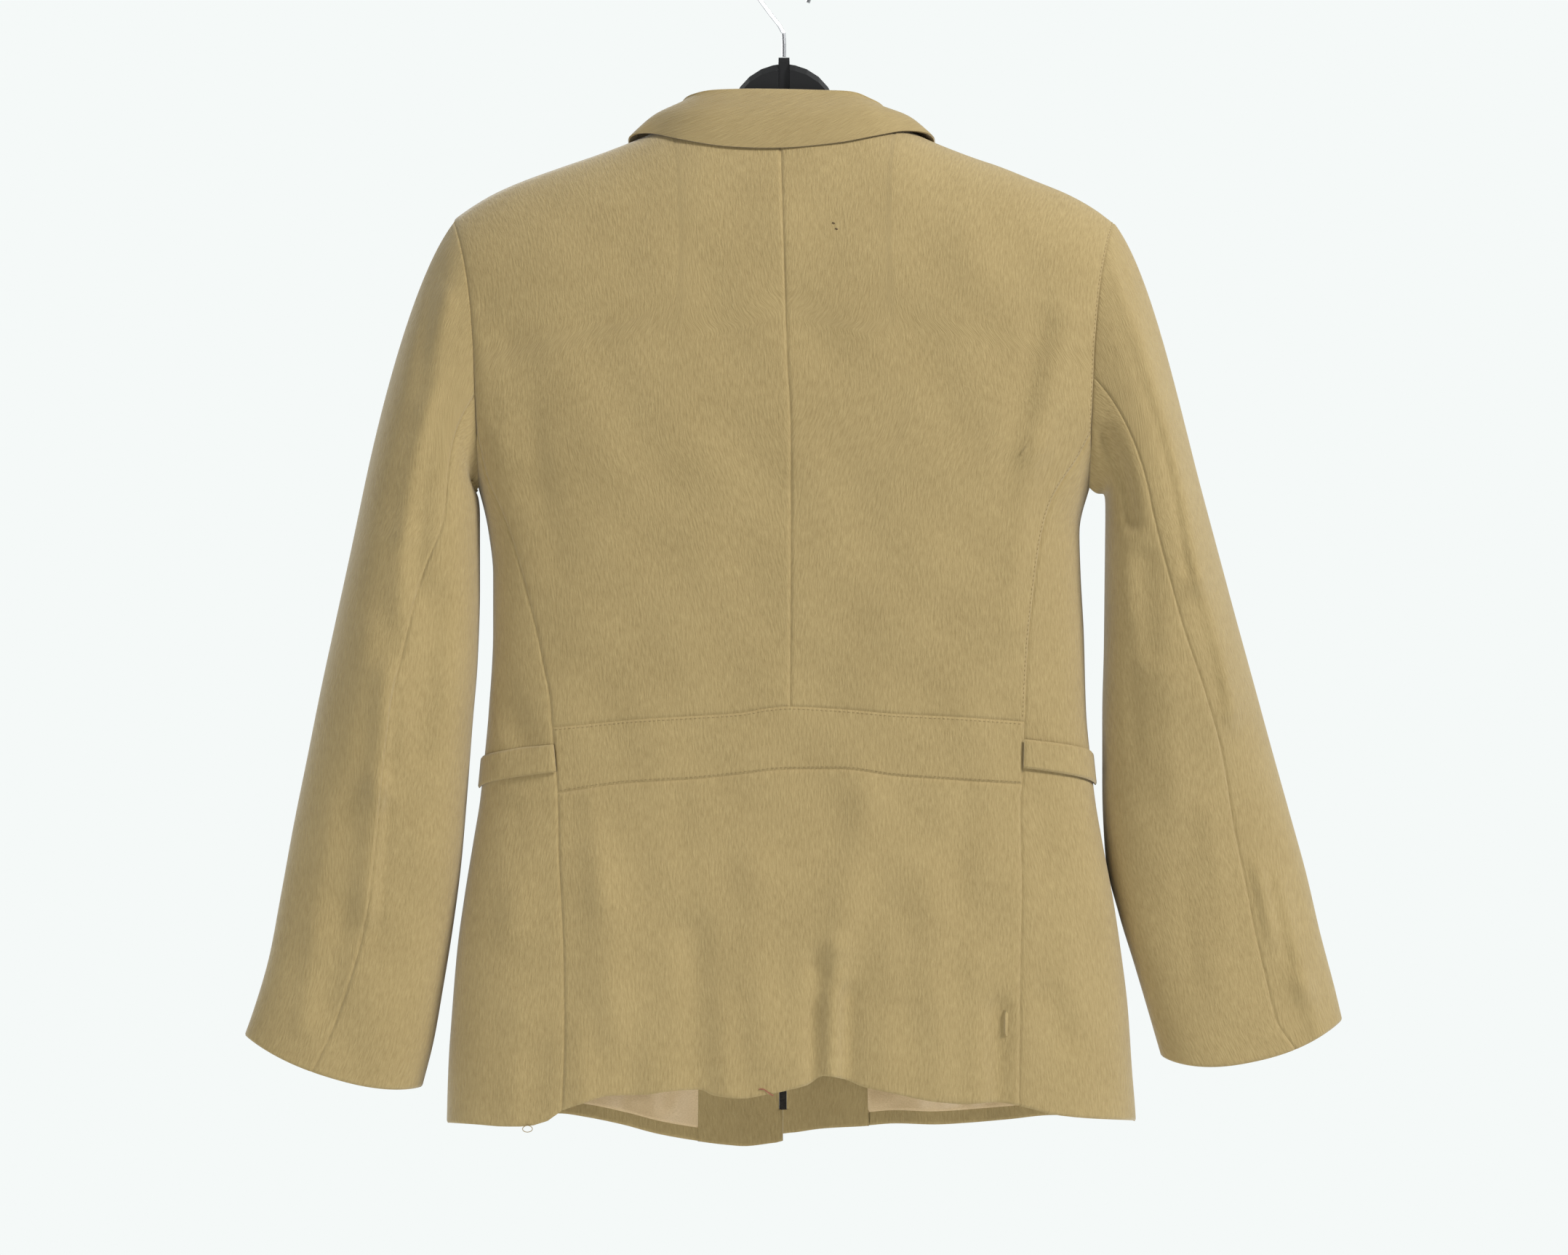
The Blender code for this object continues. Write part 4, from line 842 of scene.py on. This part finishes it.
def edge_distance(points, edges):
    """Distance of each point from the nearest of the named edges, measured along the grid."""
    down, over = run_lengths(points)
    each = {"t": down, "b": down[-1:] - down, "l": over, "r": over[:, -1:] - over}
    return np.minimum.reduce([np.full(down.shape, 1e3)] + [each[edge] for edge in edges])


def slab_quads(rows, columns):
    """Faces of a closed slab whose points are two grids, the outer first: both walls and the rim."""
    index = np.arange(rows * columns).reshape(rows, columns)
    outer = np.stack([index[:-1, :-1], index[:-1, 1:], index[1:, 1:], index[1:, :-1]], -1).reshape(-1, 4)
    inner = outer[:, ::-1] + rows * columns
    loop = np.concatenate([index[0, :-1], index[:-1, -1], index[-1, :0:-1], index[:0:-1, 0]])
    after = np.roll(loop, -1)
    rim = np.stack([after, loop, loop + rows * columns, after + rows * columns], 1)
    return np.concatenate([outer, inner, rim])


def write_mesh(name, points, faces, material, uv=None, sharp=50):
    """Writes a closed mesh of quads in millimetres, turned to face outwards, with its material and UV map."""
    points, faces = np.asarray(points, float), np.asarray(faces, int)
    a, b, c, d = (points[faces[:, k]] for k in range(4))
    volume = np.einsum("ij,ij->i", np.cross(a, b), c) + np.einsum("ij,ij->i", np.cross(a, c), d)
    if volume.sum() < 0:
        faces = faces[:, ::-1]
    mesh = bpy.data.meshes.new(name)
    mesh.from_pydata((points * MM).tolist(), [], faces.tolist())
    mesh.polygons.foreach_set("use_smooth", np.ones(len(mesh.polygons), bool))
    mesh.set_sharp_from_angle(angle=math.radians(sharp))
    if uv is not None:
        layer = mesh.uv_layers.new(name="UVMap")
        corner = np.empty(len(mesh.loops), np.int32)
        mesh.loops.foreach_get("vertex_index", corner)
        layer.data.foreach_set("uv", (np.asarray(uv)[corner] * MM).ravel().astype(np.float32))
    mesh.materials.append(bpy.data.materials[material])
    mesh.update()
    item = bpy.data.objects.new(name, mesh)
    bpy.context.scene.collection.objects.link(item)
    return item


def cloth_shell(name, grid, points_of, seams, hems, node, material, out=0.0, wall=None, sink=None):
    """Makes one cloth piece from its grid of parameters and hands back its outer wall.

    The outer wall drops into each seam on a bell curve of the distance from it. At a free edge both walls
    close in on each other on the same curve, which rounds the turned cloth.
    """
    cloth = bpy.context.scene.jacket_cloth
    wall = cloth.wall * 1000 if wall is None else wall
    grid = with_edge_rows(grid, points_of, seams + hems)
    middle, outward = points_of(grid)
    groove = cloth.groove_depth * 1000 * np.exp(-((edge_distance(middle, seams) / 1.0) ** 2))
    turned = 0.38 * wall * np.exp(-((edge_distance(middle, hems) / 0.8) ** 2))
    shift = 0 if sink is None else sink(middle)
    outer = middle + outward * (out + shift - groove - turned)[..., None]
    inner = middle + outward * (out + shift - wall + turned)[..., None]
    for row, step in (("t", (0, 1)), ("b", (-1, -2))):
        if row in seams:
            pull = cloth.seam_gap * 500 * unit(outer[step[1]] - outer[step[0]])
            outer[step[0]] += pull
            inner[step[0]] += pull
    for line, step in (("l", (0, 1)), ("r", (-1, -2))):
        if line in seams:
            pull = cloth.seam_gap * 500 * unit(outer[:, step[1]] - outer[:, step[0]])
            outer[:, step[0]] += pull
            inner[:, step[0]] += pull
    down, over = run_lengths(outer)
    uv = np.stack([over - over[:, -1:] / 2, -down], axis=-1).reshape(-1, 2)
    points = np.concatenate([outer.reshape(-1, 3), inner.reshape(-1, 3)])
    rows, columns = outer.shape[:2]
    item = write_mesh(name, points, slab_quads(rows, columns), material, np.concatenate([uv, uv]))
    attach(item, "jacket")
    if node:
        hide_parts(node)
    WALLS[name] = (item, outer, outward)
    return item


def inset_line(name, edge, distance, first=0.0, last=1.0):
    """Points and normals of a piece's outer wall that lie a distance in from one of its edges."""
    _, outer, outward = WALLS[name]
    both = np.concatenate([outer, outward], axis=-1)
    turned = both if edge in "tb" else np.swapaxes(both, 0, 1)
    turned = turned[::-1] if edge in "br" else turned
    reach = run_lengths(turned[..., :3])[0]
    k = np.clip((reach < distance).sum(axis=0), 1, len(turned) - 1)
    here = np.arange(turned.shape[1])
    share = (distance - reach[k - 1, here]) / (reach[k, here] - reach[k - 1, here])
    line = turned[k - 1, here] + (turned[k, here] - turned[k - 1, here]) * share[:, None]
    count = len(line)
    line = line[int(first * (count - 1)):int(last * (count - 1)) + 1]
    return line[:, :3], unit(line[:, 3:])


def sewing(name, lines, material="thread_camel"):
    """Rows of stitches as small capsules, all in one mesh.

    Each capsule's middle line bows out of the cloth on a parabola and its radius shrinks at both ends.
    """
    cloth = bpy.context.scene.jacket_cloth
    pitch, long, radius = cloth.stitch_pitch * 1000, cloth.stitch_length * 1000, cloth.stitch_radius * 1000
    turns = np.arange(6) * math.pi / 3
    along = np.array([-0.5, -0.36, 0.0, 0.36, 0.5])
    thick = np.array([0.3, 0.85, 1.0, 0.85, 0.3]) * radius
    rise = 0.10 - 0.42 * (2 * along) ** 2
    everything = []
    for line, outward in lines:
        reach = np.concatenate([[0], np.cumsum(np.linalg.norm(np.diff(line, axis=0), axis=-1))])
        at = np.arange(pitch, reach[-1] - pitch / 2, pitch)
        centre = np.stack([np.interp(at, reach, line[:, k]) for k in range(3)], -1)
        ahead = np.stack([np.interp(at + 0.5, reach, line[:, k]) for k in range(3)], -1)
        up = unit(np.stack([np.interp(at, reach, outward[:, k]) for k in range(3)], -1))
        tangent = unit(ahead - centre)
        across = unit(np.cross(up, tangent))
        spine = centre[:, None] + tangent[:, None] * (along * long)[None, :, None] + up[:, None] * rise[None, :, None]
        ring = across[:, None, None] * np.cos(turns)[None, None, :, None] + up[:, None, None] * np.sin(turns)[None, None, :, None]
        everything.append(spine[:, :, None] + ring * thick[None, :, None, None])
    points = np.concatenate(everything)
    count = len(points)
    span = np.arange(5 * 6).reshape(5, 6)
    sides = np.stack([span[:-1], np.roll(span, -1, 1)[:-1], np.roll(span, -1, 1)[1:], span[1:]], -1).reshape(-1, 4)
    ends = np.array([[0, 3, 2, 1], [0, 5, 4, 3], [24, 25, 26, 27], [24, 27, 28, 29]])
    faces = np.concatenate([sides, ends])
    faces = (faces[None] + 30 * np.arange(count)[:, None, None]).reshape(-1, 4)
    item = write_mesh(name, points.reshape(-1, 3), faces, material)
    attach(item, "jacket")
    return item


def tube(name, path, radius, material, sides=16, body="jacket", tips=(1.0, 1.0)):
    """Round bar along a path: rings square to the path, carried on without twist, and rounded end caps."""
    path = np.asarray(path, float)
    tangent = unit(np.gradient(path, axis=0))
    aside = np.cross(tangent, np.array([0.0, 1.0, 0.0]))
    weak = np.linalg.norm(aside, axis=-1) < 1e-3
    aside[weak] = np.array([1.0, 0.0, 0.0])
    aside = unit(aside)
    other = unit(np.cross(aside, tangent))
    radius = np.broadcast_to(np.asarray(radius, float), (len(path),)).copy()
    caps = np.array([0.05, 0.45, 0.78, 0.95])
    back = np.sqrt(1 - caps**2)
    head = path[0] - tangent[0] * (back * radius[0] * tips[0])[:, None]
    tail = path[-1] + tangent[-1] * (back[::-1] * radius[-1] * tips[1])[:, None]
    spine = np.concatenate([head, path, tail])
    size = np.concatenate([caps * radius[0], radius, caps[::-1] * radius[-1]])
    aside = np.concatenate([np.repeat(aside[:1], 4, 0), aside, np.repeat(aside[-1:], 4, 0)])
    other = np.concatenate([np.repeat(other[:1], 4, 0), other, np.repeat(other[-1:], 4, 0)])
    turns = np.arange(sides) * 2 * math.pi / sides
    ring = aside[:, None] * np.cos(turns)[None, :, None] + other[:, None] * np.sin(turns)[None, :, None]
    points = spine[:, None] + ring * size[:, None, None]
    return closed_rings(name, points, material, body)


def closed_rings(name, rings, material, body="jacket", sharp=50):
    """Joins rings of points into one skin, each end closed by strips across its last ring."""
    count, size = rings.shape[:2]
    index = np.arange(count * size).reshape(count, size)
    after = np.roll(index, -1, axis=1)
    sides = np.stack([index[:-1], after[:-1], after[1:], index[1:]], -1).reshape(-1, 4)
    half = size // 2
    k = np.arange(half - 1)
    strip = np.stack([k, k + 1, size - 2 - k, size - 1 - k], -1)
    first, last = strip[:, ::-1], strip + (count - 1) * size
    item = write_mesh(name, rings.reshape(-1, 3), np.concatenate([sides, first, last]), material, sharp=sharp)
    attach(item, body)
    return item


def torso_points(grid):
    return torso_normals(grid[..., 0], grid[..., 1])


def collar_points():
    """Collar sections from the neck seam over the roll to the outer edge, on smooth rows."""
    sections = []
    for face, bx, bz, rx, ry, rz, ex, ez, lift in COLLAR:
        side = -1 if face < 0 else 1
        spots = np.stack([on_torso(side, bx, bz), on_torso(side, ex, ez)])[None]
        if face == 0:
            spots[..., 1] = CAP_LEVEL + CAP_SPAN
        at, up = torso_points(spots)
        roll = real(np.array(float(rx)), np.array(float(ry)), np.array(float(rz)))
        low, high = at[0, 0] + up[0, 0] * (0.4 + 0.5 * lift), at[0, 1] + up[0, 1] * lift
        away = unit((high - low) * np.array([1, 1, 0]))
        dip = np.array([0, 0, 2.6])
        sections.append([low, low * 0.5 + (roll - away * 2.4) * 0.5 - away * 0.8, roll - away * 2.5 - dip, roll,
                         roll + away * 2.5 - dip, (roll + away * 2.5 + high) * 0.5 + up[0, 1] * 2.2, high])
    middle = spline(np.array(sections), 8)
    return np.swapaxes(spline(np.swapaxes(middle, 0, 1), 6), 0, 1)


def spline(points, steps):
    """Smooth rows through given rows: a cubic with each row's slope taken from its neighbours."""
    slope = np.gradient(points, axis=0)
    at = np.arange((len(points) - 1) * steps + 1) / steps
    k = np.minimum(at.astype(int), len(points) - 2)
    t = (at - k).reshape(-1, 1, 1)
    return ((2 * t**3 - 3 * t**2 + 1) * points[k] + (t**3 - 2 * t**2 + t) * slope[k]
            + (3 * t**2 - 2 * t**3) * points[k + 1] + (t**3 - t**2) * slope[k + 1])


def linear(colour):
    """A hex colour such as A8926A as linear red, green, blue and alpha."""
    parts = [int(colour[k:k + 2], 16) / 255 for k in (0, 2, 4)]
    return (*(c / 12.92 if c <= 0.04045 else ((c + 0.055) / 1.055) ** 2.4 for c in parts), 1.0)


def node(tree, kind, links=(), **settings):
    """Adds a node, sets its sockets or its own settings, and links (output, socket) pairs into it."""
    made = tree.nodes.new(kind)
    for name, value in settings.items():
        key = name.replace("_", " ").title()
        if key in made.inputs:
            made.inputs[key].default_value = value
        else:
            setattr(made, name, value)
    for output, socket in links:
        tree.links.new(output, made.inputs[socket])
    return made


def make_material(name, dark, light, rough, grain, stretch, bump, metallic=0.0, sheen=0.0, space="Object"):
    """Colour runs between two tones on noise of a real grain size (per metre), which also lifts the surface."""
    material = bpy.data.materials.new(name)
    material.use_nodes = True
    tree = material.node_tree
    shader = tree.nodes["Principled BSDF"]
    place = node(tree, "ShaderNodeTexCoord")
    turn = node(tree, "ShaderNodeMapping", [(place.outputs[space], "Vector")], scale=stretch)
    fine = node(tree, "ShaderNodeTexNoise", [(turn.outputs["Vector"], "Vector")], scale=grain, detail=5.0, roughness=0.65)
    broad = node(tree, "ShaderNodeTexNoise", [(place.outputs["Object"], "Vector")], scale=24.0, detail=3.0)
    both = node(tree, "ShaderNodeMath", [(broad.outputs["Fac"], 0), (fine.outputs["Fac"], 2)], operation="MULTIPLY_ADD")
    both.inputs[1].default_value = 0.2
    ramp = node(tree, "ShaderNodeMapRange", [(both.outputs[0], "Value")])
    ramp.inputs["From Min"].default_value, ramp.inputs["From Max"].default_value = 0.4, 0.8
    mix = node(tree, "ShaderNodeMix", [(ramp.outputs["Result"], 0)], data_type="RGBA")
    mix.inputs[6].default_value, mix.inputs[7].default_value = linear(dark), linear(light)
    tree.links.new(mix.outputs[2], shader.inputs["Base Color"])
    lift = node(tree, "ShaderNodeBump", [(fine.outputs["Fac"], "Height")], strength=0.5, distance=bump)
    tree.links.new(lift.outputs["Normal"], shader.inputs["Normal"])
    shader.inputs["Roughness"].default_value = rough
    shader.inputs["Metallic"].default_value = metallic
    shader.inputs["Sheen Weight"].default_value = sheen
    shader.inputs["Sheen Roughness"].default_value = 0.5


class JacketCloth(bpy.types.PropertyGroup):
    """Sizes of the cloth, its seams and its stitches."""

    wall: FloatProperty(name="Cloth", description="Thickness of the wool", default=0.0018, unit="LENGTH")
    seam_gap: FloatProperty(name="Seam gap", description="Gap between two pieces, less than zero where they meet", default=-0.0003, unit="LENGTH")
    groove_depth: FloatProperty(name="Seam groove", description="Depth at a seam", default=0.0008, unit="LENGTH")
    crease_strength: FloatProperty(name="Creases", description="Strength of the finer creases", default=1.3)
    stitch_pitch: FloatProperty(name="Stitch pitch", description="From stitch to stitch", default=0.003, unit="LENGTH")
    stitch_length: FloatProperty(name="Stitch", description="Length of a stitch", default=0.0023, unit="LENGTH")
    stitch_radius: FloatProperty(name="Thread", description="Radius of the thread", default=0.00034, unit="LENGTH")


class JACKET_OT_materials(bpy.types.Operator):
    """Makes the wool, satin, thread, plastic, wire and zip metal"""
    bl_idname = "jacket.materials"
    bl_label = "Materials"

    def execute(self, context):
        # Brushed wool: matt, mottled, with a short nap lying down in streaks.
        # The streaks are 0.5 mm wide on the cloth and are drawn 1.3 mm wide, so that they show.
        make_material("brushed_wool", "8F7B4F", "A59163", 0.95, 190.0, (4, 0.8, 1), 0.0016, sheen=0.3, space="UV")
        # Woven satin: smooth floats with soft gloss along the creases.
        make_material("woven_satin", "AE936A", "CCB388", 0.42, 900.0, (1, 1, 3), 0.0001, sheen=0.2)
        make_material("thread_camel", "7C693E", "958154", 0.8, 1800.0, (1, 1, 1), 0.0001, sheen=0.2)
        make_material("red_thread", "7A4330", "92553D", 0.8, 1800.0, (1, 1, 1), 0.0001, sheen=0.2)
        make_material("dark_speck", "453624", "5A4830", 0.9, 1800.0, (1, 1, 1), 0.0001)
        # Moulded plastic: near black with a fine even texture.
        make_material("moulded_plastic", "0E0E0F", "19191B", 0.38, 1500.0, (1, 1, 1), 0.00005)
        # Drawn steel wire: bright, with faint lines along it.
        make_material("drawn_steel", "A9AAAD", "C9CACD", 0.24, 700.0, (1, 1, 0.2), 0.00003, metallic=1.0)
        make_material("zip_metal", "1E1C1A", "35322E", 0.38, 900.0, (1, 1, 1), 0.00005, metallic=1.0)
        return {"FINISHED"}


class JACKET_OT_body(bpy.types.Operator):
    """Makes the back, waist band, skirt, side panels, fronts, facings and lining"""
    bl_idname = "jacket.body"
    bl_label = "Body"

    def execute(self, context):
        for side, word in ((-1, "left"), (1, "right")):
            inner, outer = ("r", "l") if side < 0 else ("l", "r")
            for name, grid, seams, hems in (
                ("back_upper_", back_panel(side), "tblr", ""),
                ("side_panel_", side_panel(side), "tlr", "b"),
                ("front_", front_panel(side), "tr", "bl"),
            ):
                cloth_shell(name + word + "_cloth", grid, torso_points, seams, hems, name + word, "brushed_wool")
            grid = front_panel(side)[:, :FACING_COLUMNS * DETAIL + 1]
            cloth_shell("facing_" + word + "_cloth", grid, torso_points, "r", "tbl", "facing_" + word,
                        "brushed_wool", -1.8 - SEAM, FACING_WALL)
            grid = front_panel(side)[LINING_ROW * DETAIL:, FACING_COLUMNS * DETAIL:-DETAIL].copy()
            grid[..., 1] += LINING_RISE * np.linspace(0, 1, len(grid))[:, None] ** 8
            cloth_shell("front_lining_" + word + "_cloth", grid, torso_points, "l", "b", "front_lining_" + word,
                        "woven_satin", -1.8 - SEAM, LINING_WALL,
                        lambda spot: -np.abs(folds(LINING_FOLDS, 1, spot[..., 0], spot[..., 2] + 10)))
        cloth_shell("waist_band_cloth", joined(band_half), torso_points, "tblr", "", "waist_band", "brushed_wool")
        cloth_shell("back_skirt_cloth", joined(skirt_half), torso_points, "tlr", "b", "back_skirt", "brushed_wool")
        return {"FINISHED"}


class JACKET_OT_sleeves(bpy.types.Operator):
    """Makes the two pieces of each sleeve"""
    bl_idname = "jacket.sleeves"
    bl_label = "Sleeves"

    def execute(self, context):
        for side, word in ((-1, "left"), (1, "right")):
            for under, name in ((False, "upper_sleeve_"), (True, "under_sleeve_")):
                angles = sleeve_angles(side, under)
                grid = np.stack([angles, np.broadcast_to(SLEEVE_WAYS[:, None], angles.shape)], -1)
                cloth_shell(name + word + "_cloth", grid, lambda g, s=side: sleeve_normals(s, g), "tlr", "b",
                            name + word, "brushed_wool")
        return {"FINISHED"}


class JACKET_OT_collar_and_belts(bpy.types.Operator):
    """Makes the turned collar and the two half belts"""
    bl_idname = "jacket.collar_and_belts"
    bl_label = "Collar and half belts"

    def execute(self, context):
        middle = collar_points()
        outward = unit(np.cross(np.gradient(middle, axis=0), np.gradient(middle, axis=1)))
        turned = 0.3 * np.exp(-((edge_distance(middle, "tbr") / 0.8) ** 2))[..., None]
        outer = middle + outward * (COLLAR_WALL / 2 - turned)
        inner = middle - outward * (COLLAR_WALL / 2 - turned)
        down, over = run_lengths(outer)
        uv = np.stack([down, -over], -1).reshape(-1, 2)
        points = np.concatenate([outer.reshape(-1, 3), inner.reshape(-1, 3)])
        item = write_mesh("collar_cloth", points, slab_quads(*outer.shape[:2]), "brushed_wool", np.concatenate([uv, uv]))
        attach(item, "jacket")
        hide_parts("collar")
        WALLS["collar_cloth"] = (item, outer, outward)
        for side, word in ((-1, "left"), (1, "right")):
            panel = side_panel(side)[(UPPER_ROWS + 1) * DETAIL:(UPPER_ROWS + 3) * DETAIL + 1]
            cloth_shell("half_belt_" + word + "_cloth", panel, torso_points, "lr", "tb", "half_belt_" + word,
                        "brushed_wool", SEAM + 2.2, 2.2)
        return {"FINISHED"}


def on_back(x, z, lift):
    """Points of the back's cloth seen at x, z, moved out by lift."""
    at, up = torso_points(on_torso(-1, x, z)[None])
    return (at + up * np.reshape(lift, (-1, 1)))[0]


class JACKET_OT_threads(bpy.types.Operator):
    """Lays the red-brown thread on the back hem, the loose loop under it and the two dark specks"""
    bl_idname = "jacket.threads"
    bl_label = "Threads and specks"

    def execute(self, context):
        share = np.linspace(0, 1, 24)
        path = on_back(-16.3 + 9.1 * share, -742.6 - 3.2 * share + 0.9 * np.sin(5 * share), 0.3)
        tube("hem_thread", path, 0.4, "red_thread", 8)
        turn = 2 * math.pi * share
        loop = on_back(-170 + 3.6 * np.sin(turn) + 1.5 * share, -766.4 - 4.5 * (1 - np.cos(turn)) / 2, 0.4)
        tube("hem_loop", loop, 0.25, "thread_camel", 8)
        for name, x, z in (("speck_upper", 32.2, -171.0), ("speck_lower", 34.1, -174.8)):
            tube(name, on_back(x + share, z - 0.4 * share, 0.1), 0.45, "dark_speck", 8)
        return {"FINISHED"}


class JACKET_OT_sewing(bpy.types.Operator):
    """Sews the rows of edge stitches"""
    bl_idname = "jacket.sewing"
    bl_label = "Sewing"

    def execute(self, context):
        rows = {
            "waist_band_cloth": [("t", 1.9), ("b", 1.9)],
            "back_upper_right_cloth": [("r", 1.8)],
            "collar_cloth": [("r", 7.0)],
            "facing_left_cloth": [("r", 2.0)],
            "facing_right_cloth": [("r", 2.0)],
        }
        for name, (item, _, _) in WALLS.items():
            sewn = []
            if name in rows:
                lines = [inset_line(name, edge, far) for edge, far in rows[name]]
                sewn = [sewing(name.replace("_cloth", "_stitches"), lines)]
            sewn += [bpy.data.objects[extra] for extra in LOOSE.get(name, ())]
        return {"FINISHED"}


class JACKET_OT_trims(bpy.types.Operator):
    """Gives the zip, hanger and hook their finishes"""
    bl_idname = "jacket.trims"
    bl_label = "Zip and hanger"

    def execute(self, context):
        for name, finish in (("zip_chain", "zip_metal"), ("zip_slider", "zip_metal"), ("zip_pull", "zip_metal"),
                             ("hanger", "moulded_plastic"), ("hanger_hook", "drawn_steel")):
            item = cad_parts[name]
            for slot in item.material_slots:
                slot.material = bpy.data.materials[finish]
        return {"FINISHED"}


class JACKET_OT_stage(bpy.types.Operator):
    """Makes the pale floor, the soft light and the camera"""
    bl_idname = "jacket.stage"
    bl_label = "Studio"

    def execute(self, context):
        make_material("floor_pale", "E6E8E7", "EFF1F0", 0.9, 30.0, (1, 1, 1), 0.0001)
        turns = np.arange(64) * math.pi / 32
        rings = [np.stack([r * np.sin(turns), r * np.cos(turns), 0 * turns + z], -1)
                 for r, z in ((1080, -1250), (1100, -1252), (1080, -1256))]
        floor = closed_rings("floor", np.array(rings), "floor_pale")
        world = bpy.data.worlds.new("studio")
        world.use_nodes = True
        backing = world.node_tree.nodes["Background"]
        backing.inputs["Color"].default_value = linear("F5F9F8")
        # The surround is bright beyond the jacket and dimmer behind the camera.
        place = node(world.node_tree, "ShaderNodeTexCoord")
        parts = node(world.node_tree, "ShaderNodeSeparateXYZ", [(place.outputs["Generated"], 0)])
        ramp = node(world.node_tree, "ShaderNodeMapRange", [(parts.outputs["Y"], "Value")])
        for socket, value in (("From Min", -0.3), ("From Max", 0.6), ("To Min", 0.28), ("To Max", 1.0)):
            ramp.inputs[socket].default_value = value
        world.node_tree.links.new(ramp.outputs["Result"], backing.inputs["Strength"])
        context.scene.world = world
        for name, spot, size, energy in (("key", (2.3, -1.5, 1.6), 0.9, 140.0), ("fill", (-1.2, -2.3, -1.1), 1.4, 34.0),
                                         ("far_key", (-1.8, 2.2, 1.2), 1.6, 30.0)):
            lamp = bpy.data.lights.new(name, "AREA")
            lamp.energy, lamp.size = energy, size
            item = bpy.data.objects.new(name, lamp)
            item.location = spot
            aim = item.location.copy()
            aim.z += 0.45
            item.rotation_euler = aim.to_track_quat("Z", "Y").to_euler()
            context.scene.collection.objects.link(item)
        lens = bpy.data.cameras.new("camera")
        lens.lens, lens.sensor_width = 69.92, 36.0
        camera = bpy.data.objects.new("camera", lens)
        camera.location = (0, -2.055, -0.4478)
        camera.rotation_euler = (math.pi / 2, 0, 0)
        context.scene.collection.objects.link(camera)
        context.scene.camera = camera
        context.scene.view_settings.view_transform = "Standard"
        return {"FINISHED"}


STEPS = (JACKET_OT_materials, JACKET_OT_body, JACKET_OT_sleeves, JACKET_OT_collar_and_belts, JACKET_OT_threads,
         JACKET_OT_sewing,
         JACKET_OT_trims, JACKET_OT_stage)
WALLS = {}
LOOSE = {"back_skirt_cloth": ("hem_thread", "hem_loop"), "back_upper_right_cloth": ("speck_upper", "speck_lower")}


class VIEW3D_PT_jacket(bpy.types.Panel):
    """The jacket's sizes and steps in the sidebar."""

    bl_label = "Jacket"
    bl_space_type = "VIEW_3D"
    bl_region_type = "UI"
    bl_category = "Jacket"

    def draw(self, context):
        for name in JacketCloth.__annotations__:
            self.layout.prop(context.scene.jacket_cloth, name)
        for step in STEPS:
            self.layout.operator(step.bl_idname)


CLASSES = (JacketCloth, *STEPS, VIEW3D_PT_jacket)


def register():
    for item in CLASSES:
        bpy.utils.register_class(item)
    bpy.types.Scene.jacket_cloth = PointerProperty(type=JacketCloth)


def unregister():
    del bpy.types.Scene.jacket_cloth
    for item in reversed(CLASSES):
        bpy.utils.unregister_class(item)


def main():
    register()
    for step in STEPS:
        getattr(bpy.ops.jacket, step.bl_idname.split(".")[1])()


if __name__ == "__main__":
    main()
